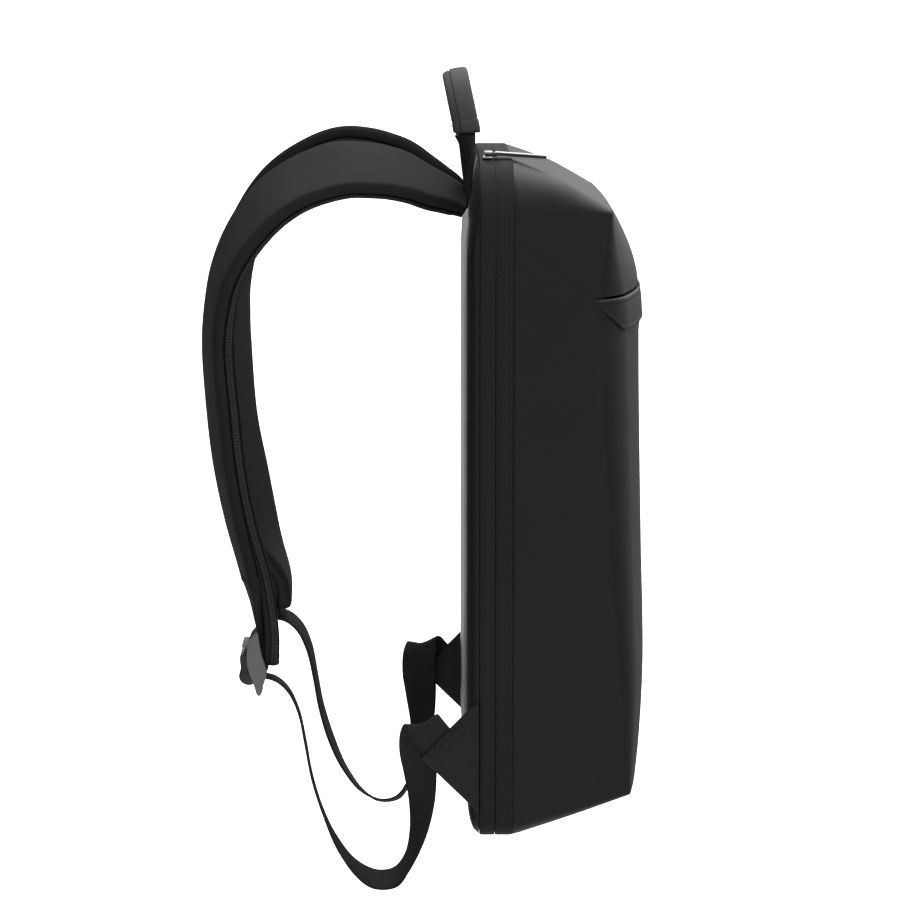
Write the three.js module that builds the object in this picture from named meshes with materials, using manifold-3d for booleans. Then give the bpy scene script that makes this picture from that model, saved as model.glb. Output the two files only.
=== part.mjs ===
// A slim laptop backpack in the form that it has when it is worn: the shoulder straps stand in their
// arcs, the lower webbing hangs in slack loops and the grab handle stands up.
//
// Frame, in millimetres: X runs across the back (the wearer's left is -X), Y points to the wearer
// and Z is up. The origin is in the middle of the back panel's face, where it bears on the wearer.
import * as THREE from 'three';
import { mergeVertices } from 'three/addons/utils/BufferGeometryUtils.js';
import Module from 'manifold-3d';

const wasm = await Module();
wasm.setup();

// Driving dimensions
const HALF_WIDTH = 146;
const BOTTOM = -230.4;
const TOP = 226;
const TOP_CORNER = 45;
const BOTTOM_CORNER = 10;
const WALL = 2;
const GAP = 0.3;

// How far forward of the back panel's face each seam lies
const BACK_SEAM = 10;
const ZIP_LINE = 20.4;
const FRONT_SEAM = 32.5;
const ZIP_SLIT = 1;
const ZIP_TAPE_WIDTH = 10;
const ZIP_TAPE_THICKNESS = 1.5;

// The line where the hood is sewn to the front panel: down across each side, then level across the front
const HOOD_SEAM = { back: 31, backHeight: 177.3, front: 87.4, frontHeight: 136.2 };
// How far the block that cuts along this seam reaches: behind its back end, past its front end to the
// level part, and beyond the front body
const SEAM_CUT = { behind: 20, past: 12, forward: 160, up: 300, aside: 200 };
const POCKET_SLIT = 1.6;
const LIP_DEPTH = 1.8;

const STRAP_STEPS = 26;
const WEBBING_WIDTH = 25;
const WEBBING_THICKNESS = 1.8;
const WEBBING_STEPS = 44;
const ARCH_STEPS = 16;

const BUCKLE_X = 104;
const BUCKLE_WIDTH = 34;

// The hinge of the zip pull lies along X, on the bridge in front of the slider
const SLIDER_X = -102;
const PULL_PIVOT_Y = -21.6;
const PULL_PIVOT_Z = TOP + 3.3;
const PULL_LENGTH = 35;
const PULL_WIDTH = 6;
const PULL_SLOPE = THREE.MathUtils.degToRad(4);

// The front body, one row for each line that runs across it, from the foot of its seam, along the
// rising base, up the front, over the crease of the hood and back to the top of the seam.
// side and middle: how far forward the line lies at the sides and in the middle; corner: the radius
// of the edge where it meets the side; inY and inZ: the way in from the surface.
const FRONT_LINES = [
  { side: FRONT_SEAM, middle: FRONT_SEAM, z: -229.9, corner: 8, inY: 0, inZ: 1 },
  { side: 72, middle: 74, z: -216, corner: 5, inY: 0, inZ: 1 },
  { side: 112, middle: 122, z: -201.2, corner: 2.5, inY: 0.7, inZ: 0.7 },
  { side: 112.5, middle: 124.5, z: -182, corner: 5, inY: 1, inZ: 0 },
  { side: 113, middle: 127.4, z: -128, corner: 9, inY: 1, inZ: 0 },
  { side: 108.5, middle: 125.6, z: -40, corner: 13, inY: 1, inZ: 0 },
  { side: 103.5, middle: 123.7, z: 60, corner: 15, inY: 1, inZ: 0 },
  { side: 101, middle: 123.2, z: 108, corner: 15, inY: 1, inZ: 0 },
  { side: 99.5, middle: 122.6, z: 137, corner: 14, inY: 1, inZ: 0 },
  { side: 98.7, middle: 118.8, z: 155, corner: 10, inY: 1, inZ: 0 },
  { side: 98.2, middle: 109, z: 178, corner: 5, inY: 1, inZ: 0 },
  { side: 98, middle: 99.5, z: 194, corner: 3, inY: 0.7, inZ: -0.7 },
  { side: 66, middle: 66, z: 212.5, corner: 25, inY: 0, inZ: -1 },
  { side: 47, middle: 47, z: 220.2, corner: 35, inY: 0, inZ: -1 },
  { side: FRONT_SEAM, middle: FRONT_SEAM, z: 225.5, corner: TOP_CORNER, inY: 0, inZ: -1 },
];
const FIRST_FRONT_LINE = 3;
const LAST_FRONT_LINE = 10;
// How much wider than deep the front's rounded edges are, beyond a round one
const CORNER_STRETCH = 1;
// How far in from the sides the front body's sections lie
const SECTION_INSETS = [0, 0.8, 2.6, 6, 11, 19, 30, 45, 75, 110];

// The pocket lip: how far it reaches at each height, as a share of the way from the middle of the
// front to the end of the rounded edge, and how far its face stands out
const LIP_ROWS = [
  { z: 135.2, reach: 1, rise: 0.9 },
  { z: 129, reach: 0.965, rise: 1.3 },
  { z: 124, reach: 0.927, rise: 1.7 },
  { z: 118, reach: 0.87, rise: 2.1 },
  { z: 114, reach: 0.82, rise: 2.4 },
  { z: 112.2, reach: 0.76, rise: 2.2 },
];
const LIP_COLUMNS = 32;
// Above 1, the lip's columns crowd towards its ends, where the front turns
const LIP_CROWDING = 1.6;

// The back panel from its seam to its face: how far its outline is drawn in at the sides, top and bottom
const BACK_ROWS = [
  { y: -9.7, sides: 0.4, top: 0.6, bottom: 0.6 },
  { y: -8.6, sides: 0.4, top: 5, bottom: 1.6 },
  { y: -5.6, sides: 1.8, top: 21, bottom: 4.5 },
  { y: -3.2, sides: 4.5, top: 33, bottom: 11 },
  { y: -1.4, sides: 9.5, top: 46, bottom: 23 },
  { y: -0.4, sides: 16, top: 58, bottom: 34 },
  { y: 0, sides: 24, top: 72, bottom: 46 },
];

// The middle line of a shoulder strap, from the yoke over the shoulder to the strap's end.
// x: distance from the middle of the back; roll: how far the outer edge turns in, in degrees;
// thick: the share of the full thickness; proud: how far the lining stands out, from 0 to 1;
// apart and twist: how far the right strap, hanging by itself, lies off this line and turns beyond it
const STRAP_ROWS = [
  { x: 56, y: 0.6, z: 193, width: 60, roll: 9, thick: 0.7, proud: 0, apart: 0, twist: 0 },
  { x: 57, y: 10, z: 197.4, width: 62, roll: 11, thick: 0.9, proud: 0, apart: 1.5, twist: 0 },
  { x: 61, y: 23.4, z: 203.2, width: 64, roll: 13.5, thick: 1, proud: 0, apart: 3.6, twist: 0 },
  { x: 70, y: 43, z: 211.6, width: 66, roll: 18.5, thick: 1, proud: 0, apart: 4.4, twist: 0 },
  { x: 79.5, y: 64.4, z: 215.9, width: 66, roll: 22.5, thick: 1, proud: 0, apart: 5.2, twist: 0 },
  { x: 88.3, y: 86, z: 215.5, width: 66, roll: 25, thick: 1, proud: 0, apart: 4.6, twist: 0 },
  { x: 95.6, y: 111.9, z: 206.3, width: 66, roll: 23, thick: 1, proud: 0, apart: 3.2, twist: 0 },
  { x: 100.6, y: 130.5, z: 193.2, width: 66, roll: 21, thick: 1, proud: 0, apart: 2.4, twist: 0 },
  { x: 103.5, y: 146.6, z: 173.5, width: 66, roll: 17, thick: 1, proud: 0, apart: 2.2, twist: 0 },
  { x: 105.5, y: 159, z: 148.7, width: 66, roll: 12.5, thick: 1, proud: 0.1, apart: 2.6, twist: 0 },
  { x: 105.6, y: 164.6, z: 121.6, width: 66, roll: 10.7, thick: 1, proud: 0.5, apart: 3.4, twist: 0 },
  { x: 105.8, y: 165.9, z: 98, width: 66, roll: 11, thick: 1, proud: 1, apart: 4.8, twist: 0.5 },
  { x: 105.6, y: 163.3, z: 60, width: 66, roll: 12, thick: 1, proud: 1, apart: 7, twist: 1.8 },
  { x: 104.7, y: 159.3, z: 20, width: 65, roll: 11.8, thick: 1, proud: 1, apart: 8, twist: 3.5 },
  { x: 103.9, y: 152, z: -20, width: 63, roll: 11.2, thick: 1, proud: 1, apart: 8.2, twist: 6 },
  { x: 104, y: 142.2, z: -60, width: 57, roll: 10, thick: 0.98, proud: 1, apart: 8.4, twist: 5 },
  { x: 104, y: 136.4, z: -97, width: 44, roll: 5, thick: 1.07, proud: 0.9, apart: 0, twist: -3 },
  { x: 104, y: 137.2, z: -119, width: 22, roll: 1, thick: 1.27, proud: 0.9, apart: 0, twist: 0 },
];
// The three layers of a strap. low and high: the offsets of their faces from the strap's middle;
// drawnIn: how far in from the strap's edges they end; steps: how far along the strap they run.
// Over the shoulder the face is wrapped round the edge, and the lining lies thin and far in
const STRAP_LAYERS = [
  {
    name: 'face', crown: 1, steps: 23,
    proud: { low: 0.2, high: 8.6, drawnIn: 0 },
    wrapped: { low: -1.4, high: 8.6, drawnIn: 0 },
  },
  {
    name: 'mesh_band', crown: 0, steps: STRAP_STEPS,
    proud: { low: -5.2, high: -0.2, drawnIn: 1.5 },
    wrapped: { low: -4.6, high: -1.8, drawnIn: 2.4 },
  },
  {
    name: 'lining', crown: -1, steps: STRAP_STEPS,
    proud: { low: -8.9, high: -5.6, drawnIn: 0.5 },
    wrapped: { low: -6.9, high: -5.6, drawnIn: 9 },
  },
];
// buckleShift: how far the buckle hangs out from the strap's end
const STRAP_SIDES = {
  left: { sign: -1, loose: 0, buckleShift: 0 },
  right: { sign: 1, loose: 1, buckleShift: 3.5 },
};
// The sewn tail that carries on from the end of the face to the buckle
const TAIL_ROWS = [
  { share: 0.8868, width: 55, low: 0.5, high: 7.8 },
  { share: 0.905, width: 42, low: 1.1, high: 6.8 },
  { share: 0.923, width: 28, low: 1.6, high: 6.4 },
  { share: 0.9425, width: 24, low: 1.6, high: 5.4 },
];

// The adjusting webbing of one side, from the buckle round the slack loop and over its fold into the
// anchor tab. wx, wy and wz: the way from the inner edge to the outer edge
const WEBBING_ROWS = [
  { x: 104, y: 136.6, z: -126, wx: 1, wy: 0, wz: 0 },
  { x: 104, y: 128.8, z: -128.4, wx: 1, wy: 0, wz: 0 },
  { x: 104, y: 120.2, z: -136.4, wx: 1, wy: 0, wz: 0 },
  { x: 104, y: 113.4, z: -151.4, wx: 1, wy: 0, wz: 0 },
  { x: 104, y: 109.2, z: -171.4, wx: 1, wy: 0, wz: -0.03 },
  { x: 104, y: 104.8, z: -196, wx: 1, wy: -0.04, wz: -0.06 },
  { x: 104, y: 97.4, z: -221, wx: 1, wy: -0.1, wz: -0.12 },
  { x: 104.5, y: 87.2, z: -244, wx: 1, wy: -0.1, wz: -0.2 },
  { x: 105, y: 74.5, z: -261, wx: 1, wy: -0.1, wz: -0.26 },
  { x: 106, y: 61, z: -269, wx: 1, wy: 0, wz: -0.3 },
  { x: 108, y: 47.4, z: -267, wx: 1, wy: -0.1, wz: -0.3 },
  { x: 111, y: 39.6, z: -256.5, wx: 1, wy: -0.12, wz: -0.2 },
  { x: 116, y: 32.8, z: -236, wx: 0.93, wy: -0.37, wz: -0.1 },
  { x: 123, y: 29.6, z: -210, wx: 0.72, wy: -0.69, wz: 0 },
  { x: 128, y: 30.4, z: -188, wx: 0.4, wy: -0.9, wz: 0.1 },
  { x: 132.2, y: 32, z: -171, wx: 0.1, wy: -0.95, wz: 0.28 },
  { x: 135, y: 31.2, z: -159.5, wx: 0, wy: -0.943, wz: 0.333 },
  { x: 139, y: 28.4, z: -153.4, wx: 0, wy: -0.943, wz: 0.333 },
  { x: 143.2, y: 25, z: -156.4, wx: 0, wy: -0.91, wz: 0.41 },
  { x: 144, y: 18.4, z: -164, wx: 0, wy: -0.707, wz: 0.707 },
  { x: 144, y: 10, z: -172.4, wx: 0, wy: -0.707, wz: 0.707 },
];
// How far each slack loop hangs below the route in the table, and how far its outer edge is turned up
// at the buckle, in degrees
const WEBBING_SIDES = {
  left: { sign: -1, sag: 0.8, turn: 8 },
  right: { sign: 1, sag: -2.6, turn: 8 },
};
const ANCHOR = { seamY: -9.4, topZ: -135.6, lowZ: -213, tipY: 29.5, tipZ: -174.9 };
// The anchor tab seen from above, from the seam along its inner face and back along its outer face
const ANCHOR_PLAN = [
  { x: 146.1, y: -9.4 },
  { x: 144.6, y: -5 },
  { x: 142, y: -1.6 },
  { x: 141.8, y: 30 },
  { x: 146.3, y: 30 },
  { x: 146.5, y: -1 },
  { x: 147.6, y: -9.4 },
];

// The grab handle: its root on the yoke, its legs and the arch of its grip
const HANDLE = {
  rootX: 48, rootY: -2.9, rootZ: 190, rootWidth: 34, rootThickness: 2,
  gripX: 48, gripY: -2.6, gripZ: 241, archHeight: 38.5, archPower: 0.77, lean: 0.21, legTaper: 1.6,
  foldWidth: 11, foldThickness: 4.6, gripWidth: 18.4, gripThickness: 8.6,
};

const COLOURS = {
  fabric: { color: 0x1c1c1d, roughness: 0.62, metalness: 0 },
  mesh: { color: 0x141415, roughness: 0.9, metalness: 0 },
  webbing: { color: 0x171718, roughness: 0.8, metalness: 0 },
  plastic: { color: 0x4a4a4b, roughness: 0.45, metalness: 0 },
  metal: { color: 0xc9c9cb, roughness: 0.22, metalness: 1 },
};

const backpack = new THREE.Group();

function add(name, geometry, colour) {
  const mesh = new THREE.Mesh(geometry, new THREE.MeshStandardMaterial(COLOURS[colour]));
  mesh.name = name;
  backpack.add(mesh);
  return mesh;
}

// Mesh building

function signedVolume(positions, indices) {
  const corner = (index) => new THREE.Vector3().fromArray(positions, 3 * index);
  let volume = 0;
  for (let start = 0; start < indices.length; start += 3) {
    const [a, b, c] = [0, 1, 2].map((offset) => corner(indices[start + offset]));
    volume += a.dot(b.cross(c)) / 6;
  }
  return volume;
}

function closedGeometry(positions, indices) {
  const facesOut = signedVolume(positions, indices) > 0;
  const geometry = new THREE.BufferGeometry();
  geometry.setAttribute('position', new THREE.Float32BufferAttribute(positions, 3));
  geometry.setIndex(facesOut ? indices : [...indices].reverse());
  geometry.computeVertexNormals();
  return geometry;
}

const flatten = (rings) => rings.flat().flatMap((point) => point.toArray());

// The triangles of a flat end, wound as its ring is
function endTriangles(ring) {
  const normal = new THREE.Vector3();
  ring.forEach((point, step) => {
    normal.add(point.clone().cross(ring[(step + 1) % ring.length]));
  });
  const along = ring[1].clone().sub(ring[0]).normalize();
  const across = normal.normalize().clone().cross(along);
  const outline = ring.map((point) => new THREE.Vector2(point.dot(along), point.dot(across)));
  return THREE.ShapeUtils.triangulateShape(outline, []);
}

function wallTriangles(indices, start, count, rows) {
  for (let row = 0; row < rows; row += 1) {
    for (let step = 0; step < count; step += 1) {
      const a = start + row * count + step;
      const b = start + row * count + ((step + 1) % count);
      indices.push(a, b, a + count, b, b + count, a + count);
    }
  }
}

// A solid through rings of equally many points, with flat ends
function loft(rings) {
  const count = rings[0].length;
  const indices = [];
  wallTriangles(indices, 0, count, rings.length - 1);
  const last = (rings.length - 1) * count;
  for (const [a, b, c] of endTriangles(rings[0])) {
    indices.push(c, b, a);
  }
  for (const [a, b, c] of endTriangles(rings.at(-1))) {
    indices.push(last + a, last + b, last + c);
  }
  return closedGeometry(flatten(rings), indices);
}

// A wall between outer and inner rings, open at both ends
function sleeve(outer, inner) {
  const count = outer[0].length;
  const rows = outer.length;
  const innerStart = rows * count;
  const outerWall = [];
  const innerWall = [];
  wallTriangles(outerWall, 0, count, rows - 1);
  wallTriangles(innerWall, innerStart, count, rows - 1);
  const indices = [...outerWall, ...innerWall.reverse()];
  const last = (rows - 1) * count;
  for (let step = 0; step < count; step += 1) {
    const next = (step + 1) % count;
    indices.push(next, step, innerStart + step, next, innerStart + step, innerStart + next);
    indices.push(last + step, last + next, innerStart + last + step);
    indices.push(last + next, innerStart + last + next, innerStart + last + step);
  }
  return closedGeometry(flatten([...outer, ...inner]), indices);
}

// A slab between two grids of points, closed along all four edges
function slab(outer, inner) {
  const columns = outer[0].length;
  const rims = outer.map((row, index) => [...row, ...[...inner[index]].reverse()]);
  const indices = [];
  wallTriangles(indices, 0, 2 * columns, rims.length - 1);
  const last = (rims.length - 1) * 2 * columns;
  for (let step = 0; step + 1 < columns; step += 1) {
    const mirror = 2 * columns - 1 - step;
    indices.push(step + 1, step, mirror, step + 1, mirror, mirror - 1);
    indices.push(last + step, last + step + 1, last + mirror);
    indices.push(last + step + 1, last + mirror - 1, last + mirror);
  }
  return closedGeometry(flatten(rims), indices);
}

function toManifold(geometry) {
  const bare = geometry.clone();
  bare.deleteAttribute('normal');
  bare.deleteAttribute('uv');
  const merged = mergeVertices(bare);
  const vertProperties = new Float32Array(merged.attributes.position.array);
  const triVerts = new Uint32Array(merged.index.array);
  return new wasm.Manifold(new wasm.Mesh({ numProp: 3, vertProperties, triVerts }));
}

function toGeometry(manifold) {
  const mesh = manifold.getMesh();
  return closedGeometry(Array.from(mesh.vertProperties), Array.from(mesh.triVerts));
}

// A prism whose outline is given as forward distance and height, from one X to another
function sidePrism(outline, lowX, highX) {
  const ring = (x) => outline.map(([forward, z]) => new THREE.Vector3(x, -forward, z));
  return loft([ring(lowX), ring(highX)]);
}

function box(width, depth, height, x, y, z) {
  return new THREE.BoxGeometry(width, depth, height).translate(x, y, z);
}

const mirrored = (geometry) => {
  const copy = geometry.clone().scale(-1, 1, 1);
  return closedGeometry(Array.from(copy.attributes.position.array), Array.from(copy.index.array));
};

// Both copies of a piece that is drawn on the wearer's right
function addPair(name, geometry, colour) {
  add(`${name}_right`, geometry, colour);
  add(`${name}_left`, mirrored(geometry), colour);
}

// The body's outline seen from the front, drawn in by different amounts

const ARC_STEPS = 6;
// How much the corners' radii follow what is drawn in, and the least that they come to
const CORNER_FOLLOW = 0.5;
const LEAST_TOP_CORNER = 6;
const LEAST_BOTTOM_CORNER = 4;

function bodyOutline(y, sides, top, bottom) {
  const upper = Math.max(TOP_CORNER - Math.max(sides, top) * CORNER_FOLLOW, LEAST_TOP_CORNER);
  const lower = Math.max(BOTTOM_CORNER + (bottom - sides) * CORNER_FOLLOW, LEAST_BOTTOM_CORNER);
  const corners = [
    { x: 1, z: 1, radius: upper, from: 0 },
    { x: -1, z: 1, radius: upper, from: 90 },
    { x: -1, z: -1, radius: lower, from: 180 },
    { x: 1, z: -1, radius: lower, from: 270 },
  ];
  const points = [];
  for (const { x, z, radius, from } of corners) {
    const centreX = x * (HALF_WIDTH - sides - radius);
    const centreZ = z > 0 ? TOP - top - radius : BOTTOM + bottom + radius;
    for (let step = 0; step <= ARC_STEPS; step += 1) {
      const angle = THREE.MathUtils.degToRad(from + (90 * step) / ARC_STEPS);
      const reachX = centreX + radius * Math.cos(angle);
      points.push(new THREE.Vector3(reachX, y, centreZ + radius * Math.sin(angle)));
    }
  }
  return points;
}

function bodyBand(near, far, inset, wall) {
  const ring = (forward, drawnIn) => bodyOutline(-forward, drawnIn, drawnIn, drawnIn);
  const outer = [ring(near, inset), ring(far, inset)];
  const inner = [ring(near, inset + wall), ring(far, inset + wall)];
  return sleeve(outer, inner);
}

// Back panel, gusset and zip

const backRings = BACK_ROWS.map(({ y, sides, top, bottom }) => bodyOutline(y, sides, top, bottom));
add('back_panel', loft(backRings), 'fabric');
add('gusset_rear', bodyBand(BACK_SEAM, ZIP_LINE - ZIP_SLIT / 2, 0, WALL), 'fabric');
add('gusset_front', bodyBand(ZIP_LINE + ZIP_SLIT / 2, FRONT_SEAM - GAP, 0, WALL), 'fabric');
const tapeNear = ZIP_LINE - ZIP_TAPE_WIDTH / 2;
const tapeFar = ZIP_LINE + ZIP_TAPE_WIDTH / 2;
add('zip_tape', bodyBand(tapeNear, tapeFar, WALL + GAP, ZIP_TAPE_THICKNESS), 'webbing');

// Front body: one hollow tray, open at the back, cut along the hood's seam

function cornerInset(fromSide, depth, stretch) {
  const reach = depth * stretch;
  return fromSide >= reach ? 0 : depth * (1 - Math.sqrt(1 - ((reach - fromSide) / reach) ** 2));
}

function forwardAt(line, x) {
  return line.side + (line.middle - line.side) * (1 - (x / HALF_WIDTH) ** 2);
}

// The least depth of a rounded edge on the inside
const LEAST_EDGE = 0.6;
// How far the hollow of the front body reaches back through its open side
const OPEN_REACH = 3;

function frontRing(x, skin, backReach) {
  const halfWidth = HALF_WIDTH - skin;
  const ring = FRONT_LINES.map((line) => {
    const fromSide = Math.max(halfWidth - Math.abs(x), 0);
    const stretch = 1 + CORNER_STRETCH * line.inY;
    const drawnIn = skin + cornerInset(fromSide, Math.max(line.corner - skin, LEAST_EDGE), stretch);
    return new THREE.Vector3(x, -forwardAt(line, x) + line.inY * drawnIn, line.z + line.inZ * drawnIn);
  });
  const foot = ring[0].clone();
  const head = ring.at(-1).clone();
  foot.y = -FRONT_SEAM + backReach;
  head.y = -FRONT_SEAM + backReach;
  return backReach > 0 ? [foot, ...ring, head] : ring;
}

function frontBlock(skin, backReach) {
  const half = SECTION_INSETS.map((inset) => -(HALF_WIDTH - skin - inset));
  const stations = [...half, 0, ...half.map((x) => -x).reverse()];
  return toManifold(loft(stations.map((x) => frontRing(x, skin, backReach))));
}

const tray = frontBlock(0, 0).subtract(frontBlock(WALL, OPEN_REACH));

function aboveHoodSeam(lift, slit) {
  const { back, backHeight, front, frontHeight } = HOOD_SEAM;
  const { behind, past, forward, up, aside } = SEAM_CUT;
  const slope = (backHeight - frontHeight) / (front - back);
  const outline = [
    [back - behind, backHeight + behind * slope + lift],
    [front, frontHeight + lift],
    [front + past, frontHeight + slit],
    [forward, frontHeight + slit],
    [forward, up],
    [back - behind, up],
  ];
  return toManifold(sidePrism(outline, -aside, aside));
}

add('hood', toGeometry(tray.intersect(aboveHoodSeam(GAP / 2, POCKET_SLIT / 2))), 'fabric');
add('front_panel', toGeometry(tray.subtract(aboveHoodSeam(-GAP / 2, -POCKET_SLIT / 2))), 'fabric');

// Pocket lip: a band laid on the front panel just under the slit

function frontLineAt(z) {
  const lines = FRONT_LINES.slice(FIRST_FRONT_LINE, LAST_FRONT_LINE + 1);
  const upper = lines.findIndex((line) => line.z >= z);
  const [low, high] = [lines[upper - 1], lines[upper]];
  const share = (z - low.z) / (high.z - low.z);
  const mix = (key) => low[key] + (high[key] - low[key]) * share;
  return { side: mix('side'), middle: mix('middle'), corner: mix('corner') };
}

// The front's curve at one height, from the middle to the end of the rounded edge at the side
function planCurve(z) {
  const line = frontLineAt(z);
  return [HALF_WIDTH, ...[...SECTION_INSETS].reverse()].map((inset) => {
    const x = HALF_WIDTH - inset;
    return new THREE.Vector2(x, -forwardAt(line, x) + cornerInset(inset, line.corner, 1 + CORNER_STRETCH));
  });
}

function pointOnPlan(curve, share, lift) {
  const lengths = curve.map((point, index) => (index ? point.distanceTo(curve[index - 1]) : 0));
  const total = lengths.reduce((sum, length) => sum + length, 0);
  let left = Math.abs(share) * total;
  let index = 1;
  while (index < curve.length - 1 && left > lengths[index]) {
    left -= lengths[index];
    index += 1;
  }
  const along = curve[index].clone().sub(curve[index - 1]).normalize();
  const point = curve[index - 1].clone().addScaledVector(along, left);
  point.add(new THREE.Vector2(along.y, -along.x).multiplyScalar(lift));
  return share < 0 ? new THREE.Vector2(-point.x, point.y) : point;
}

function lipGrid(liftOf) {
  return LIP_ROWS.map(({ z, reach, rise }) => {
    const curve = planCurve(z);
    return Array.from({ length: LIP_COLUMNS + 1 }, (_, column) => {
      const place = (2 * column) / LIP_COLUMNS - 1;
      const share = Math.sign(place) * reach * (1 - (1 - Math.abs(place)) ** LIP_CROWDING);
      const { x, y } = pointOnPlan(curve, share, liftOf(rise));
      return new THREE.Vector3(x, y, z);
    });
  });
}

const lipBlank = toManifold(slab(lipGrid((rise) => GAP + rise), lipGrid(() => -LIP_DEPTH)));
add('pocket_lip', toGeometry(lipBlank.subtract(frontBlock(-GAP, 0))), 'fabric');

// Sweeps: a section carried along a curve, turned so that its width lies where each row says

function smoothTrack(rows, keys) {
  const places = rows.map((row) => new THREE.Vector3(row.x, row.y, row.z));
  const curve = new THREE.CatmullRomCurve3(places, false, 'centripetal');
  return (share) => {
    const place = share * (rows.length - 1);
    const index = Math.min(Math.floor(place), rows.length - 2);
    const blend = place - index;
    const station = { point: curve.getPoint(share), tangent: curve.getTangent(share) };
    for (const key of keys) {
      station[key] = rows[index][key] + (rows[index + 1][key] - rows[index][key]) * blend;
    }
    return station;
  };
}

function sectionRing(point, across, up, section) {
  return section.map(([a, b]) => point.clone().addScaledVector(across, a).addScaledVector(up, b));
}

const bandSection = (width, thickness) => [
  [-width / 2, -thickness / 2],
  [width / 2, -thickness / 2],
  [width / 2, thickness / 2],
  [-width / 2, thickness / 2],
];

// Shoulder straps: a smooth face, a mesh band round the side and a smooth lining

const strapTrack = smoothTrack(STRAP_ROWS, ['width', 'roll', 'thick', 'proud', 'apart', 'twist']);

// The rounded edge of a strap's layer: its widest reach, its greatest drop, that drop as a share of
// the thickness, and the bevel of its flat side
const LAYER_EDGE = { reach: 3, drop: 0.8, dropShare: 0.3, bevel: 0.8 };

function strapSection({ width, thick, proud }, layer) {
  const mix = (key) => THREE.MathUtils.lerp(layer.wrapped[key], layer.proud[key], proud);
  const half = width / 2 - mix('drawnIn');
  const low = thick * mix('low');
  const high = thick * mix('high');
  if (layer.crown === 0) {
    return [[-half, high], [0, high], [half, high], [half, low], [0, low], [-half, low]];
  }
  const [flat, round] = layer.crown > 0 ? [low, high] : [high, low];
  const shoulder = Math.min(LAYER_EDGE.reach, half / 3);
  const drop = layer.crown * Math.min(LAYER_EDGE.drop, LAYER_EDGE.dropShare * (high - low));
  const section = [
    [-half + LAYER_EDGE.bevel, flat],
    [0, flat],
    [half - LAYER_EDGE.bevel, flat],
    [half, (low + high) / 2],
    [half - shoulder, round - drop],
    [0, round],
    [-half + shoulder, round - drop],
    [-half, (low + high) / 2],
  ];
  return layer.crown > 0 ? section : section.reverse();
}

// The directions across and out of a strap whose outer edge turns in by roll degrees
function rolledFrame(tangent, roll) {
  const outward = new THREE.Vector3(1, 0, 0).addScaledVector(tangent, -tangent.x).normalize();
  const inward = tangent.clone().cross(outward).normalize();
  const turn = THREE.MathUtils.degToRad(roll);
  const across = outward.multiplyScalar(Math.cos(turn)).addScaledVector(inward, Math.sin(turn));
  return { across, up: across.clone().cross(tangent).normalize() };
}

// A strap's place, directions and sizes at a share of its length. loose is 1 for the right strap
function strapStation(share, loose) {
  const station = strapTrack(share);
  const frame = rolledFrame(station.tangent, station.roll + loose * station.twist);
  station.point.addScaledVector(frame.up, loose * station.apart);
  return { ...station, ...frame };
}

function strapLayer(layer, loose) {
  const rings = [];
  for (let step = 0; step <= layer.steps; step += 1) {
    const station = strapStation(step / STRAP_STEPS, loose);
    rings.push(sectionRing(station.point, station.across, station.up, strapSection(station, layer)));
  }
  return loft(rings);
}

function tailGeometry(loose) {
  const rings = TAIL_ROWS.map(({ share, width, low, high }) => {
    const { point, across, up } = strapStation(share, loose);
    const middle = point.addScaledVector(up, (low + high) / 2);
    return sectionRing(middle, across, up, bandSection(width, high - low));
  });
  return loft(rings);
}

for (const [side, { sign, loose }] of Object.entries(STRAP_SIDES)) {
  const placed = (geometry) => (sign > 0 ? geometry : mirrored(geometry));
  for (const layer of STRAP_LAYERS) {
    const colour = layer.crown === 0 ? 'mesh' : 'fabric';
    add(`strap_${layer.name}_${side}`, placed(strapLayer(layer, loose)), colour);
  }
  add(`strap_tail_${side}`, placed(tailGeometry(loose)), 'fabric');
}

// Webbing and anchor tabs

const webbingTrack = smoothTrack(WEBBING_ROWS, ['wx', 'wy', 'wz']);

// The slack part of the webbing, which ends before the fold over the anchor tab
const SLACK_END = { from: 0.5, to: 0.75 };
// The part over which the webbing turns back from how it leaves the buckle
const TURN_END = { from: 0.02, to: 0.4 };
// The slot for the webbing runs from its end to well outside the anchor tab
const SLOT_LENGTH = 60;
// How far the blanks that make an anchor tab reach past it, to the sides and up and down
const TAB_BLANK = { aside: 20, beyond: 1 };

function webbingGeometry(sag, turn) {
  const rings = [];
  for (let step = 0; step <= WEBBING_STEPS; step += 1) {
    const share = step / WEBBING_STEPS;
    const { point, tangent, wx, wy, wz } = webbingTrack(share);
    point.z -= sag * (1 - THREE.MathUtils.smoothstep(share, SLACK_END.from, SLACK_END.to));
    const across = new THREE.Vector3(wx, wy, wz);
    across.addScaledVector(tangent, -across.dot(tangent)).normalize();
    const kept = 1 - THREE.MathUtils.smoothstep(share, TURN_END.from, TURN_END.to);
    across.applyAxisAngle(tangent, THREE.MathUtils.degToRad(turn) * kept);
    const up = tangent.clone().cross(across).normalize();
    rings.push(sectionRing(point, across, up, bandSection(WEBBING_WIDTH, WEBBING_THICKNESS)));
  }
  return loft(rings);
}

for (const [side, { sign, sag, turn }] of Object.entries(WEBBING_SIDES)) {
  const geometry = webbingGeometry(sag, turn);
  add(`webbing_${side}`, sign > 0 ? geometry : mirrored(geometry), 'webbing');
}

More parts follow.
